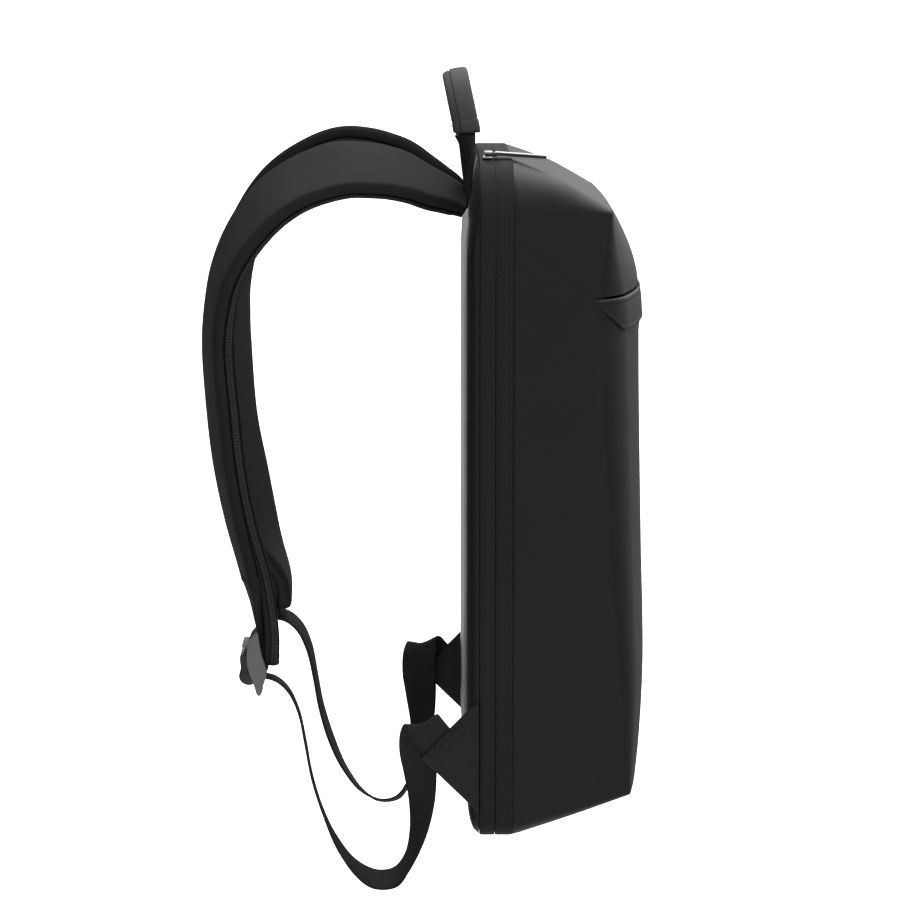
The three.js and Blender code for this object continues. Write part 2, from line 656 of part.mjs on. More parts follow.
function anchorGeometry() {
  const { seamY, topZ, lowZ, tipY, tipZ } = ANCHOR;
  const outline = [[-seamY, lowZ], [-tipY, tipZ], [-seamY, topZ]];
  const planRing = (z) => ANCHOR_PLAN.map(({ x, y }) => new THREE.Vector3(x, y, z));
  const plan = toManifold(loft([planRing(lowZ - TAB_BLANK.beyond), planRing(topZ + TAB_BLANK.beyond)]));
  const blank = sidePrism(outline, HALF_WIDTH - TAB_BLANK.aside, HALF_WIDTH + TAB_BLANK.aside);
  const plate = toManifold(blank).intersect(plan);
  const end = WEBBING_ROWS.at(-1);
  const slotWidth = WEBBING_WIDTH + 2 * GAP;
  const slot = box(WEBBING_THICKNESS + 2 * GAP, slotWidth, SLOT_LENGTH, 0, 0, SLOT_LENGTH / 2 - GAP);
  slot.rotateX(-Math.PI / 4).translate(end.x, end.y, end.z);
  return toGeometry(plate.subtract(toManifold(slot)));
}

addPair('anchor_tab', anchorGeometry(), 'fabric');

// Ladder-lock buckles: two side plates joined by bars

// The plates' outline as forward distance and height
const BUCKLE_PLATE = [
  [-140.2, -93.4], [-139.9, -96], [-138.1, -108.8], [-135.6, -115.7], [-133.9, -123.4], [-136.8, -129.6],
  [-137.2, -134.8], [-139.4, -138.4], [-141.6, -137], [-143.2, -130.4], [-145.9, -124.3], [-148.4, -115.5],
  [-148.1, -105.4], [-146.3, -98.7],
];
const BUCKLE_BARS = [
  { y: 142, z: -101.4, depth: 4, height: 3 },
  { y: 150.2, z: -114.4, depth: 5.2, height: 10.8 },
  { y: 149, z: -127, depth: 9.6, height: 10 },
  { y: 142, z: -119.5, depth: 2.6, height: 5 },
];
const BUCKLE_PLATE_WIDTH = 3;
// How much shorter the bars are than the buckle is wide
const BAR_INSET = 1;

function buckleGeometry() {
  const inner = BUCKLE_WIDTH / 2 - BUCKLE_PLATE_WIDTH;
  const plate = (side) => {
    const edges = [BUCKLE_X + side * inner, BUCKLE_X + (side * BUCKLE_WIDTH) / 2];
    return toManifold(sidePrism(BUCKLE_PLATE, Math.min(...edges), Math.max(...edges)));
  };
  let buckle = plate(1).add(plate(-1));
  for (const { y, z, depth, height } of BUCKLE_BARS) {
    buckle = buckle.add(toManifold(box(BUCKLE_WIDTH - BAR_INSET, depth, height, BUCKLE_X, y, z)));
  }
  return toGeometry(buckle);
}

for (const [side, { sign, buckleShift }] of Object.entries(STRAP_SIDES)) {
  const geometry = buckleGeometry().translate(0, buckleShift, 0);
  add(`buckle_${side}`, sign > 0 ? geometry : mirrored(geometry), 'plastic');
}

// Grab handle: webbing that lies flat on the yoke, folds lengthwise and runs through a sewn grip

function archPoint(angle) {
  const { gripX, gripY, gripZ, archHeight, archPower, lean } = HANDLE;
  const reach = Math.sign(Math.cos(angle)) * Math.abs(Math.cos(angle)) ** archPower;
  const rise = archHeight * Math.abs(Math.sin(angle)) ** archPower;
  return new THREE.Vector3(gripX * reach, gripY + lean * rise, gripZ + rise);
}

function archStations() {
  const points = [];
  for (let step = 0; step <= ARCH_STEPS; step += 1) {
    points.push(archPoint((Math.PI * step) / ARCH_STEPS));
  }
  const leanLine = new THREE.Vector3(0, -1, HANDLE.lean).normalize();
  return points.map((point, index) => {
    const before = points[Math.max(index - 1, 0)];
    const after = points[Math.min(index + 1, points.length - 1)];
    const ends = index === 0 || index === points.length - 1;
    const tangent = ends ? new THREE.Vector3(0, 0, index ? -1 : 1) : after.clone().sub(before).normalize();
    const across = leanLine.clone().addScaledVector(tangent, -leanLine.dot(tangent)).normalize();
    return { point, across, up: tangent.clone().cross(across).normalize() };
  });
}

const OVAL_CORNERS = 8;

const ovalSection = (width, thickness, power) => {
  const points = [];
  for (let corner = 0; corner < OVAL_CORNERS; corner += 1) {
    const angle = (2 * Math.PI * (corner + 0.5)) / OVAL_CORNERS;
    const stretch = (value) => Math.sign(value) * Math.abs(value) ** power;
    points.push([(width / 2) * stretch(Math.cos(angle)), (thickness / 2) * stretch(Math.sin(angle))]);
  }
  return points;
};

function legStations(side, steps) {
  const { rootX, rootY, rootZ, rootWidth, rootThickness, gripX, gripY, gripZ } = HANDLE;
  const { foldWidth, foldThickness, legTaper } = HANDLE;
  const stations = [];
  for (let step = 0; step < steps; step += 1) {
    const share = step / steps;
    // Seen from the side the leg widens evenly from nothing to the width of the folded webbing
    const width = foldWidth + (rootWidth - foldWidth) * (1 - share) ** legTaper;
    const turn = Math.asin((foldWidth * share) / width);
    const mix = (from, to) => from + (to - from) * share;
    const point = new THREE.Vector3(side * mix(rootX, gripX), mix(rootY, gripY), mix(rootZ, gripZ));
    stations.push({
      point,
      across: new THREE.Vector3(side * Math.cos(turn), -Math.sin(turn), 0),
      up: new THREE.Vector3(side * Math.sin(turn), Math.cos(turn), 0),
      width,
      thickness: mix(rootThickness, foldThickness),
    });
  }
  return stations;
}

function handleWebbing() {
  const { foldWidth, foldThickness } = HANDLE;
  const legSteps = 6;
  const arch = archStations().map((station) => ({ ...station, width: foldWidth, thickness: foldThickness }));
  const right = legStations(1, legSteps);
  const left = legStations(-1, legSteps).reverse();
  const ring = ({ point, across, up, width, thickness }) =>
    sectionRing(point, across, up, bandSection(width, thickness));
  const flipped = ({ point, across, up, width, thickness }) =>
    sectionRing(point, across, up.clone().negate(), bandSection(width, thickness));
  return loft([...right.map(flipped), ...arch.map(ring), ...left.map(flipped)]);
}

// The grip's bore round the folded webbing: how much wider and thicker it is; and how square the
// grip's outside and bore are, where 1 is an ellipse and 0 a rectangle
const GRIP_BORE = { wider: 1.4, thicker: 1.6 };
const GRIP_POWER = { outside: 0.6, bore: 0.25 };

function handleGrip() {
  const { foldWidth, foldThickness, gripWidth, gripThickness } = HANDLE;
  const stations = archStations();
  const rings = (width, thickness, power) => {
    const section = ovalSection(width, thickness, power);
    return stations.map(({ point, across, up }) => sectionRing(point, across, up, section));
  };
  const bore = rings(foldWidth + GRIP_BORE.wider, foldThickness + GRIP_BORE.thicker, GRIP_POWER.bore);
  return sleeve(rings(gripWidth, gripThickness, GRIP_POWER.outside), bore);
}

add('handle_webbing', handleWebbing(), 'webbing');
add('handle_grip', handleGrip(), 'fabric');

// Zip slider and its pull, a metal strip folded round the slider's bridge

const SHOE = { length: 13, width: 5.6, height: 5.2, y: -15.9 };
const ARM = { offset: 4.6, length: 2, width: 9, height: 2.4, y: -18.4 };
const BRIDGE = { radius: 0.5, length: 11, sides: 10 };

function sliderGeometry() {
  const shoeZ = TOP + GAP + SHOE.height / 2;
  const shoe = toManifold(box(SHOE.length, SHOE.width, SHOE.height, SLIDER_X, SHOE.y, shoeZ));
  const arms = [-ARM.offset, ARM.offset].map((offset) =>
    box(ARM.length, ARM.width, ARM.height, SLIDER_X + offset, ARM.y, PULL_PIVOT_Z));
  const bridge = new THREE.CylinderGeometry(BRIDGE.radius, BRIDGE.radius, BRIDGE.length, BRIDGE.sides);
  bridge.rotateZ(Math.PI / 2).translate(SLIDER_X, PULL_PIVOT_Y, PULL_PIVOT_Z);
  let slider = shoe;
  for (const piece of [...arms, bridge]) {
    slider = slider.add(toManifold(piece));
  }
  return toGeometry(slider);
}

// The pull's two leaves: their thickness, the radius of the fold inside them and how far their ends close in
const LEAF = { thickness: 1, fold: 0.8, closing: 0.1, steps: 8 };

function pullGeometry() {
  const inner = LEAF.fold;
  const outer = inner + LEAF.thickness;
  const { closing, steps } = LEAF;
  const outline = [];
  for (let step = 0; step <= steps; step += 1) {
    const angle = Math.PI / 2 + (Math.PI * step) / steps;
    outline.push(new THREE.Vector2(outer * Math.cos(angle), outer * Math.sin(angle)));
  }
  outline.push(new THREE.Vector2(PULL_LENGTH, -outer + closing));
  outline.push(new THREE.Vector2(PULL_LENGTH, -inner + closing));
  for (let step = steps; step >= 0; step -= 1) {
    const angle = Math.PI / 2 + (Math.PI * step) / steps;
    outline.push(new THREE.Vector2(inner * Math.cos(angle), inner * Math.sin(angle)));
  }
  outline.push(new THREE.Vector2(PULL_LENGTH, inner - closing));
  outline.push(new THREE.Vector2(PULL_LENGTH, outer - closing));
  const ring = (x) => outline.map(({ x: along, y: height }) => new THREE.Vector3(x, -along, height));
  return loft([ring(-PULL_WIDTH / 2), ring(PULL_WIDTH / 2)]);
}

add('zip_slider', sliderGeometry(), 'metal');
const pull = add('zip_pull', pullGeometry(), 'metal');
pull.position.set(SLIDER_X, PULL_PIVOT_Y, PULL_PIVOT_Z);
pull.rotation.x = PULL_SLOPE;

export default backpack;
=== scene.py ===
"""The looks of a slim laptop backpack, in the form that it has when it is worn.

Sizes are in millimetres in the part's own frame, and become metres where a mesh is made.
X runs across the back (the wearer's left is -X), Y points to the wearer and Z is up.
"""

import math

import bmesh
import bpy
import numpy as np
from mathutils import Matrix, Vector


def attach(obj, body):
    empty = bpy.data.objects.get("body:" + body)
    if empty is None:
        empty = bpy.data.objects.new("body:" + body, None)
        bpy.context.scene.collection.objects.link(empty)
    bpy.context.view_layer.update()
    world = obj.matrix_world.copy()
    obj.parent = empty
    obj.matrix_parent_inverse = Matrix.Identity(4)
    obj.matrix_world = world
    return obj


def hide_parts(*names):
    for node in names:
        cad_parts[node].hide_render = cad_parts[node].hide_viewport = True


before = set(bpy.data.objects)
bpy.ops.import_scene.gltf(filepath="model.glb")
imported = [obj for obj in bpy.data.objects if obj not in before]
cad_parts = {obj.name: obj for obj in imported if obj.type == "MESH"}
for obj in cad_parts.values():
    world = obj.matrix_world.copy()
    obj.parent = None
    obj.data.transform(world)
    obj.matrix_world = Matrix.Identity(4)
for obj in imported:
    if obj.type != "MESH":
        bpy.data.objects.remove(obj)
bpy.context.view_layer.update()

MM = 0.001
SIGNS = {"left": -1, "right": 1}

# Sizes of the body, shared with the part's source
HALF_WIDTH = 146.0
BOTTOM = -230.4
TOP = 226.0
TOP_CORNER = 45.0
BOTTOM_CORNER = 10.0
WALL = 2.0
BACK_SEAM = 10.0
ZIP_LINE = 20.4
FRONT_SEAM = 32.5

# The front body's lines, from the foot of its seam, along the base, up the front, over the hood's
# crease and back to the top of the seam: how far forward at the sides and in the middle, the
# height, the radius of the edge at the side, and the way in from the surface along Y and Z
FRONT_LINES = np.array([
    (32.5, 32.5, -229.9, 8, 0, 1),
    (72, 74, -216, 5, 0, 1),
    (112, 122, -201.2, 2.5, 0.7, 0.7),
    (112.5, 124.5, -182, 5, 1, 0),
    (113, 127.4, -128, 9, 1, 0),
    (108.5, 125.6, -40, 13, 1, 0),
    (103.5, 123.7, 60, 15, 1, 0),
    (101, 123.2, 108, 15, 1, 0),
    (99.5, 122.6, 137, 14, 1, 0),
    (98.7, 118.8, 155, 10, 1, 0),
    (98.2, 109, 178, 5, 1, 0),
    (98, 99.5, 194, 3, 0.7, -0.7),
    (66, 66, 212.5, 22.5, 0, -1),
    (47, 47, 220.2, 35, 0, -1),
    (32.5, 32.5, 225.5, 45, 0, -1),
])
BASE_EDGE = 2
HOOD_CREASE = 11
# The hood's seam: its height on the front and at the gusset, and how far forward its slanted stretch ends
SEAM_FRONT_Z = 136.2
SEAM_BACK_Z = 176.2
SEAM_FORWARD = 85.5

# The pocket lip: height, reach as a share of the way to the end of the front's rounded edge, and rise
LIP_ROWS = np.array([
    (112.2, 0.76, 2.2), (114, 0.82, 2.4), (118, 0.87, 2.1), (124, 0.927, 1.7), (129, 0.965, 1.3),
    (135.2, 1, 0.9),
])

# The back panel from its seam to its face: Y, and how far it is drawn in at the sides, top and bottom
BACK_ROWS = np.array([
    (-9.7, 0.4, 0.6, 0.6), (-8.6, 0.4, 5, 1.6), (-5.6, 1.8, 21, 4.5), (-3.2, 4.5, 33, 11),
    (-1.4, 9.5, 46, 23), (-0.4, 16, 58, 34), (0, 24, 72, 46),
])

# A shoulder strap from the yoke to its end: place, width, roll in degrees, share of the thickness, how
# far the lining stands out, and how far the right strap, hanging by itself, lies off and turns beyond
STRAP_ROWS = np.array([
    (56, 0.6, 193, 60, 9, 0.7, 0, 0, 0),
    (57, 10, 197.4, 62, 11, 0.9, 0, 1.5, 0),
    (61, 23.4, 203.2, 64, 13.5, 1, 0, 3.6, 0),
    (70, 43, 211.6, 66, 18.5, 1, 0, 4.4, 0),
    (79.5, 64.4, 215.9, 66, 22.5, 1, 0, 5.2, 0),
    (88.3, 86, 215.5, 66, 25, 1, 0, 4.6, 0),
    (95.6, 111.9, 206.3, 66, 23, 1, 0, 3.2, 0),
    (100.6, 130.5, 193.2, 66, 21, 1, 0, 2.4, 0),
    (103.5, 146.6, 173.5, 66, 17, 1, 0, 2.2, 0),
    (105.5, 159, 148.7, 66, 12.5, 1, 0.1, 2.6, 0),
    (105.6, 164.6, 121.6, 66, 10.7, 1, 0.5, 3.4, 0),
    (105.8, 165.9, 98, 66, 11, 1, 1, 4.8, 0.5),
    (105.6, 163.3, 60, 66, 12, 1, 1, 7, 1.8),
    (104.7, 159.3, 20, 65, 11.8, 1, 1, 8, 3.5),
    (103.9, 152, -20, 63, 11.2, 1, 1, 8.2, 6),
    (104, 142.2, -60, 57, 10, 0.98, 1, 8.4, 5),
    (104, 136.4, -97, 44, 5, 1.07, 0.9, 0, -3),
    (104, 137.2, -119, 22, 1, 1.27, 0.9, 0, 0),
])
STRAP_STEPS = 150
# The layers of a strap where the lining stands proud and where the face is wrapped round the edge:
# the offsets of their lower and upper faces, and how far in from the strap's edges they end
STRAP_LAYERS = {
    "face": {"proud": (0.2, 8.6, 0), "wrapped": (-1.4, 8.6, 0)},
    "mesh_band": {"proud": (-5.2, -0.2, 1.5), "wrapped": (-4.6, -1.8, 2.4)},
    "lining": {"proud": (-8.9, -5.6, 0.5), "wrapped": (-6.9, -5.6, 9)},
}
# The face's share of the strap's length, and how much further the top of the face runs at its end, for
# each millimetre of its thickness
FACE_END = 23 / 26
FACE_SLANT = 0.35
# How long that end is, and the radius of its edge and of the tail's
FACE_SLANT_RUN = 14
FACE_ROUND = 1.6
TAIL_ROUND = 1.4
# How much a strap hangs by itself, and how far its buckle is moved towards the wearer
LOOSE = {"left": 0, "right": 1}
BUCKLE_SHIFTS = {"left": 0, "right": 3.5}

# The sewn tail of a strap: share of the strap's length, width, and the offsets of its faces, and the
# share of the length that is tucked into the face
TAIL_ROWS = np.array([
    (0.8868, 55, -0.7, 7.8), (0.905, 42, -0.1, 6.8), (0.923, 28, 0.4, 6.4), (0.9425, 24, 0.4, 5.4),
])
TAIL_TUCK = 0.012

# The webbing from the buckle round its slack loop into the anchor tab: place, and the way across it
WEBBING_ROWS = np.array([
    (104, 136.6, -126, 1, 0, 0),
    (104, 128.8, -128.4, 1, 0, 0),
    (104, 120.2, -136.4, 1, 0, 0),
    (104, 113.4, -151.4, 1, 0, 0),
    (104, 109.2, -171.4, 1, 0, -0.03),
    (104, 104.8, -196, 1, -0.04, -0.06),
    (104, 97.4, -221, 1, -0.1, -0.12),
    (104.5, 87.2, -244, 1, -0.1, -0.2),
    (105, 74.5, -261, 1, -0.1, -0.26),
    (106, 61, -269, 1, 0, -0.3),
    (108, 47.4, -267, 1, -0.1, -0.3),
    (111, 39.6, -256.5, 1, -0.12, -0.2),
    (116, 32.8, -236, 0.93, -0.37, -0.1),
    (123, 29.6, -210, 0.72, -0.69, 0),
    (128, 30.4, -188, 0.4, -0.9, 0.1),
    (132.2, 32, -171, 0.1, -0.95, 0.28),
    (135, 31.2, -159.5, 0, -0.943, 0.333),
    (139, 28.4, -153.4, 0, -0.943, 0.333),
    (143.2, 25, -156.4, 0, -0.91, 0.41),
    (144, 18.4, -164, 0, -0.707, 0.707),
    (144, 10, -172.4, 0, -0.707, 0.707),
])
WEBBING_STEPS = 220
WEBBING_WIDTH = 25.0
WEBBING_THICKNESS = 1.8
# How much lower the loop hangs, and how far its outer edge is turned up at the buckle, in degrees, and
# the shares of the length over which each dies away
SAGS = {"left": 0.8, "right": -2.6}
TURNS = {"left": 5, "right": 8}
SAG_SHARES = (0.5, 0.75)
TURN_SHARES = (0.02, 0.4)

# An anchor tab's Y, low edge and top edge, each at the seam and at the tip
ANCHOR_LINES = [(-9.4, 29.5), (-213.0, -174.9), (-135.6, -174.9)]

BUCKLE_X = 104.0
BUCKLE_WIDTH = 34.0

HANDLE = {
    "root_x": 48.0, "root_y": -2.9, "root_z": 190.0, "root_width": 34.0, "root_thickness": 2.0,
    "grip_x": 48.0, "grip_y": -2.6, "grip_z": 241.0, "arch_height": 38.5, "arch_power": 0.77,
    "lean": 0.21, "leg_taper": 1.6, "fold_width": 11.0, "fold_thickness": 4.6,
}
LEG_STEPS = 24

SLIDER_X = -102.0
PULL_PIVOT_Y = -21.6
PULL_PIVOT_Z = TOP + 3.3
PULL_LENGTH = 35.0
PULL_SLOPE = math.radians(4)


# Small sums


def unit(vectors):
    return vectors / np.linalg.norm(vectors, axis=-1, keepdims=True)


def square_to(tangents, vectors):
    """Unit vectors, turned square to tangents."""
    return unit(vectors - tangents * np.sum(vectors * tangents, axis=-1, keepdims=True))


def turned_about(tangents, across, degrees):
    turn = np.radians(degrees)[:, None]
    return across * np.cos(turn) + np.cross(tangents, across) * np.sin(turn)


def stacked(*parts):
    """Vectors from their parts, some of which may be single numbers."""
    return np.stack(np.broadcast_arrays(*parts), axis=-1)


def mix(first, last, share):
    return first + (last - first) * share


def smoothstep(value, low, high):
    share = np.clip((value - low) / (high - low), 0, 1)
    return share * share * (3 - 2 * share)


def hump(value, centre, spread, height=1):
    return height * np.exp(-(((value - centre) / spread) ** 2))


def read_off(table, at, by, keys):
    """Some of a table's columns, where one column has the values given."""
    return [np.interp(at, table[:, by], table[:, key]) for key in keys]


def run_along(places):
    return np.append(0, np.cumsum(np.linalg.norm(np.diff(places, axis=0), axis=1)))


def smooth_rows(rows, shares):
    """A table's values at shares of its length, on a curve through its first three columns."""
    ends = np.vstack([2 * rows[0] - rows[1], rows, 2 * rows[-1] - rows[-2]])
    place = shares * (len(rows) - 1)
    index = np.minimum(place.astype(int), len(rows) - 2)
    w = (place - index)[:, None]
    p0, p1, p2, p3 = (ends[index + offset] for offset in range(4))
    pairs = ((p0, p1), (p1, p2), (p2, p3))
    d0, d1, d2 = (np.sqrt(np.linalg.norm((b - a)[:, :3], axis=1, keepdims=True)) for a, b in pairs)
    m1 = ((p1 - p0) / d0 - (p2 - p0) / (d0 + d1) + (p2 - p1) / d1) * d1
    m2 = ((p2 - p1) / d1 - (p3 - p1) / (d1 + d2) + (p3 - p2) / d2) * d1
    cubic = 2 * p1 - 2 * p2 + m1 + m2
    square = -3 * p1 + 3 * p2 - 2 * m1 - m2
    return p1 + m1 * w + square * w**2 + cubic * w**3


def rounded(section, passes):
    """A closed section, or a stack of them, with its corners cut off in turn."""
    for _ in range(passes):
        after = np.roll(section, -1, axis=-2)
        pair = np.stack([0.75 * section + 0.25 * after, 0.25 * section + 0.75 * after], axis=-2)
        section = pair.reshape(*section.shape[:-2], -1, section.shape[-1])
    return section


def mirror(points, side):
    return points * np.array([SIGNS[side], 1, 1])


# Making pieces


def new_piece(node, points, faces, look, name=None, body="bag", sharp=None, lay=None):
    """A shown piece from points in millimetres, which stands for a CAD node unless that is None.

    look is a material and its slot, and lay gives each point its place in a weave.
    """
    material, slot = look
    name = name or f"{node}_cloth"
    mesh = bpy.data.meshes.new(name)
    mesh.from_pydata((np.reshape(points, (-1, 3)) * MM).tolist(), [], faces)
    if lay is not None:
        attribute = mesh.attributes.new("lay", "FLOAT_VECTOR", "POINT")
        attribute.data.foreach_set("vector", lay.astype(np.float32).ravel())
    work = bmesh.new()
    work.from_mesh(mesh)
    bmesh.ops.recalc_face_normals(work, faces=work.faces)
    work.to_mesh(mesh)
    work.free()
    mesh.shade_smooth()
    if sharp is not None:
        mesh.set_sharp_from_angle(angle=math.radians(sharp))
    mesh.materials.append(material)
    piece = bpy.data.objects.new(name, mesh)
    bpy.context.scene.collection.objects.link(piece)
    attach(piece, body)
    if node is not None:
        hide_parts(node)
    return piece


def grid_faces(rows, columns, wrap=False):
    row = np.arange(rows - 1)[:, None] * columns
    column = np.arange(columns if wrap else columns - 1)
    after = (column + 1) % columns
    corners = [row + column, row + after, row + columns + after, row + columns + column]
    return np.stack(corners, axis=-1).reshape(-1, 4)


def swept_faces(rings, count):
    """The faces of a closed sweep, with both ends filled."""
    last = (rings - 1) * count
    ends = [list(range(count))[::-1], list(range(last, last + count))]
    return grid_faces(rings, count, True).tolist() + ends


def tube_faces(rows, count):
    """The faces of a grid that closes on itself both ways."""
    return (grid_faces(rows + 1, count, True) % (rows * count)).tolist()


def shell_faces(rows, columns):
    """The faces between an outer grid and the inner grid that follows it, edges included."""
    index = np.arange(rows * columns).reshape(rows, columns)
    outer = grid_faces(rows, columns)
    border = np.concatenate([index[0, :-1], index[:-1, -1], index[-1, :0:-1], index[:0:-1, 0]])
    after = np.roll(border, -1)
    rim = stacked(after, border, border + index.size, after + index.size)
    return np.vstack([outer, outer[:, ::-1] + index.size, rim]).tolist()


def swept_piece(node, rings, look, name=None, lay=None):
    return new_piece(node, rings, swept_faces(*rings.shape[:2]), look, name, lay=lay)


def grid_normals(grid, inside):
    """Unit normals of a grid of points, on the side that faces away from a point inside it."""
    normals = unit(np.cross(np.gradient(grid, axis=0), np.gradient(grid, axis=1)) + 1e-12)
    facing = np.sum(normals * (grid - np.array(inside)), axis=-1).mean()
    return normals if facing > 0 else -normals


def joined(shapes):
    """The points and faces of many small closed shapes, gathered into one mesh."""
    points = []
    faces = []
    count = 0
    for shape, corners in shapes:
        points.append(np.reshape(shape, (-1, 3)))
        faces += [[index + count for index in face] for face in corners]
        count += len(points[-1])
    return np.vstack(points), faces


# A stitch: sides, radius, and its rings as a share of the length and a share of the radius
STITCH_SIDES = 6
STITCH_RADIUS = 0.2
STITCH_RINGS = np.array([(-0.5, 0.35), (-0.36, 0.9), (0, 1.0), (0.36, 0.9), (0.5, 0.35)])
# The length, pitch and rise of the stitches on the gusset and on the anchor tabs
GUSSET_STITCH = (2.6, 3.6, 0.04)
TAB_STITCH = (2.2, 3.0, 0.02)


def stitches(path, normals, length, pitch, rise):
    """A row of stitches along a line of points, each bowed up out of the cloth."""
    run = run_along(path)
    count = max(int(run[-1] / pitch), 1)

    def at(values, place):
        return stacked(*(np.interp(place, run, part) for part in values.T))

    angles = np.linspace(0, 2 * math.pi, STITCH_SIDES, endpoint=False)[:, None]
    thick = STITCH_RADIUS * STITCH_RINGS[:, 1:]
    bow = thick - thick[0] + rise
    faces = swept_faces(len(STITCH_RINGS), STITCH_SIDES)
    shapes = []
    for place in (np.arange(count) + 0.5) * run[-1] / count:
        along = unit(at(path, place + length / 2) - at(path, place - length / 2))
        up = square_to(along, at(normals, place))
        spoke = np.cos(angles) * np.cross(along, up) + np.sin(angles) * up
        centres = at(path, place + STITCH_RINGS[:, 0] * length) + bow * up
        shapes.append((centres[:, None] + thick[:, None] * spoke, faces))
    return shapes


def block(size, centre, bevel):
    """Points and faces of a box with rounded edges."""
    work = bmesh.new()
    bmesh.ops.create_cube(work, size=1)
    bmesh.ops.scale(work, vec=size, verts=work.verts)
    bmesh.ops.bevel(work, geom=work.edges[:], offset=bevel, segments=3, profile=0.5, affect="EDGES")
    work.verts.index_update()
    points = np.array([vert.co[:] for vert in work.verts]) + np.array(centre)
    faces = [[vert.index for vert in face.verts] for face in work.faces]
    work.free()
    return points, faces


# Materials


class Nodes:
    """Builds the node tree of a material or a world."""

    def __init__(self, owner):
        owner.use_nodes = True
        self.owner = owner
        self.tree = owner.node_tree

    def node(self, kind, values=None, links=None, **settings):
        made = self.tree.nodes.new(kind)
        for key, value in settings.items():
            setattr(made, key, value)
        for key, value in (values or {}).items():
            made.inputs[key].default_value = value
        for key, source in (links or {}).items():
            self.tree.links.new(source, made.inputs[key])
        return made

    def math(self, operation, *terms):
        values = {key: term for key, term in enumerate(terms) if isinstance(term, (int, float))}
        links = {key: term for key, term in enumerate(terms) if key not in values}
        return self.node("ShaderNodeMath", values, links, operation=operation).outputs[0]

    def wave(self, source, length):
        """A sine of a value that grows along the surface."""
        return self.math("SINE", self.math("MULTIPLY", source, 2 * math.pi / length))

    def place(self):
        return {"Vector": self.node("ShaderNodeTexCoord").outputs["Object"]}

    def noise(self, scale, detail, roughness=0.5):
        values = {"Scale": scale, "Detail": detail, "Roughness": roughness}
        return self.node("ShaderNodeTexNoise", values, self.place()).outputs["Fac"]

    def tint(self, source, dark, light, blue=1.02):
        ramp = self.node("ShaderNodeValToRGB", links={"Fac": source})
        for element, level in zip(ramp.color_ramp.elements, (dark, light)):
            element.color = (level, level, level * blue, 1)
        return ramp.outputs["Color"]

    def shade(self, links, **values):
        shader = self.tree.nodes["Principled BSDF"]
        for key, value in values.items():
            shader.inputs[key.replace("_", " ")].default_value = value
        for key, source in links.items():
            self.tree.links.new(source, shader.inputs[key])

    def finish(self, slot, tint, rough, relief=None, **values):
        """The material and its slot. tint, rough and relief are a source and the two numbers for it."""
        source, low, high = rough
        spread = self.node("ShaderNodeMapRange", {"To Min": low, "To Max": high}, {"Value": source})
        links = {"Base Color": self.tint(*tint), "Roughness": spread.outputs["Result"]}
        if relief is not None:
            height, strength, distance = relief
            sizes = {"Strength": strength, "Distance": distance}
            links["Normal"] = self.node("ShaderNodeBump", sizes, {"Height": height}).outputs["Normal"]
        self.shade(links, **values)
        return self.owner, slot


def material_nodes(name):
    return Nodes(bpy.data.materials.new(name))


def coated_fabric(name, dark, light, gloss, shine):
    """Smooth coated cloth: a fine grain, a faint weave under the coat and slow changes of sheen."""
    nodes = material_nodes(name)
    grain = nodes.noise(1500, 3, 0.6)
    slow = nodes.math("MULTIPLY", nodes.noise(14, 3), 0.65)
    pores = nodes.node("ShaderNodeTexVoronoi", {"Scale": 900}, nodes.place()).outputs["Distance"]
    weave = nodes.node(
        "ShaderNodeTexWave", {"Scale": 260, "Distortion": 0.6, "Detail": 1}, nodes.place(),
        bands_direction="DIAGONAL",
    ).outputs["Fac"]
    relief = nodes.math("MULTIPLY_ADD", weave, 0.35, nodes.math("MULTIPLY_ADD", pores, 0.7, grain))
    speckle = nodes.math("MULTIPLY_ADD", grain, 0.35, slow)
    rough = (speckle, gloss - 0.08, gloss + 0.1)
    return nodes.finish(
        "coated_fabric", (speckle, dark, light), rough, (relief, 0.22, 0.0002), Specular_IOR_Level=shine
    )


def arrowheads(nodes, width, slope, length):
    """The place across a weave, the share of its column, and slanted waves that meet as arrowheads."""
    lay = nodes.node("ShaderNodeAttribute", attribute_name="lay").outputs["Vector"]
    parts = nodes.node("ShaderNodeSeparateXYZ", links={"Vector": lay}).outputs
    column = nodes.math("FRACT", nodes.math("DIVIDE", parts["Y"], width))
    slant = nodes.math("ABSOLUTE", nodes.math("SUBTRACT", column, 0.5))
    return parts["Y"], column, nodes.wave(nodes.math("MULTIPLY_ADD", slant, slope, parts["X"]), length)


def knit_mesh():
    """A knit whose loops stand in columns of small arrowheads along the lay."""
    nodes = material_nodes("knit_mesh")
    _, column, loop = arrowheads(nodes, 2.6, 2.6, 2.1)
    ragged = nodes.noise(900, 3, 0.6)
    height = nodes.math("MULTIPLY", nodes.math("MULTIPLY_ADD", loop, 0.5, 0.5), nodes.wave(column, 2))
    height = nodes.math("MULTIPLY_ADD", ragged, 0.3, height)
    # The colour follows the height: the low parts between the loops are darker, as painted shade in the
    # hollows
    return nodes.finish(
        "knit_mesh", (height, 0.004, 0.042), (ragged, 0.7, 0.95), (height, 0.9, 0.0007),
        Specular_IOR_Level=0.25,
    )


def webbing_cloth():
    """Woven tape: fine ribs along it, crossed by slanted picks."""
    nodes = material_nodes("webbing")
    across, _, pick = arrowheads(nodes, 2.5, 2.2, 1.1)
    fuzz = nodes.noise(1100, 3, 0.6)
    ribs = nodes.math("MULTIPLY_ADD", nodes.wave(across, 1.25), 0.2, 0.5)
    height = nodes.math("MULTIPLY_ADD", fuzz, 0.3, nodes.math("MULTIPLY_ADD", pick, 0.25, ribs))
    # The colour follows the height: the grooves between the ribs and picks are darker, as painted shade
    return nodes.finish(
        "webbing", (height, 0.009, 0.03), (fuzz, 0.75, 0.95), (height, 0.5, 0.0003), Specular_IOR_Level=0.08
    )


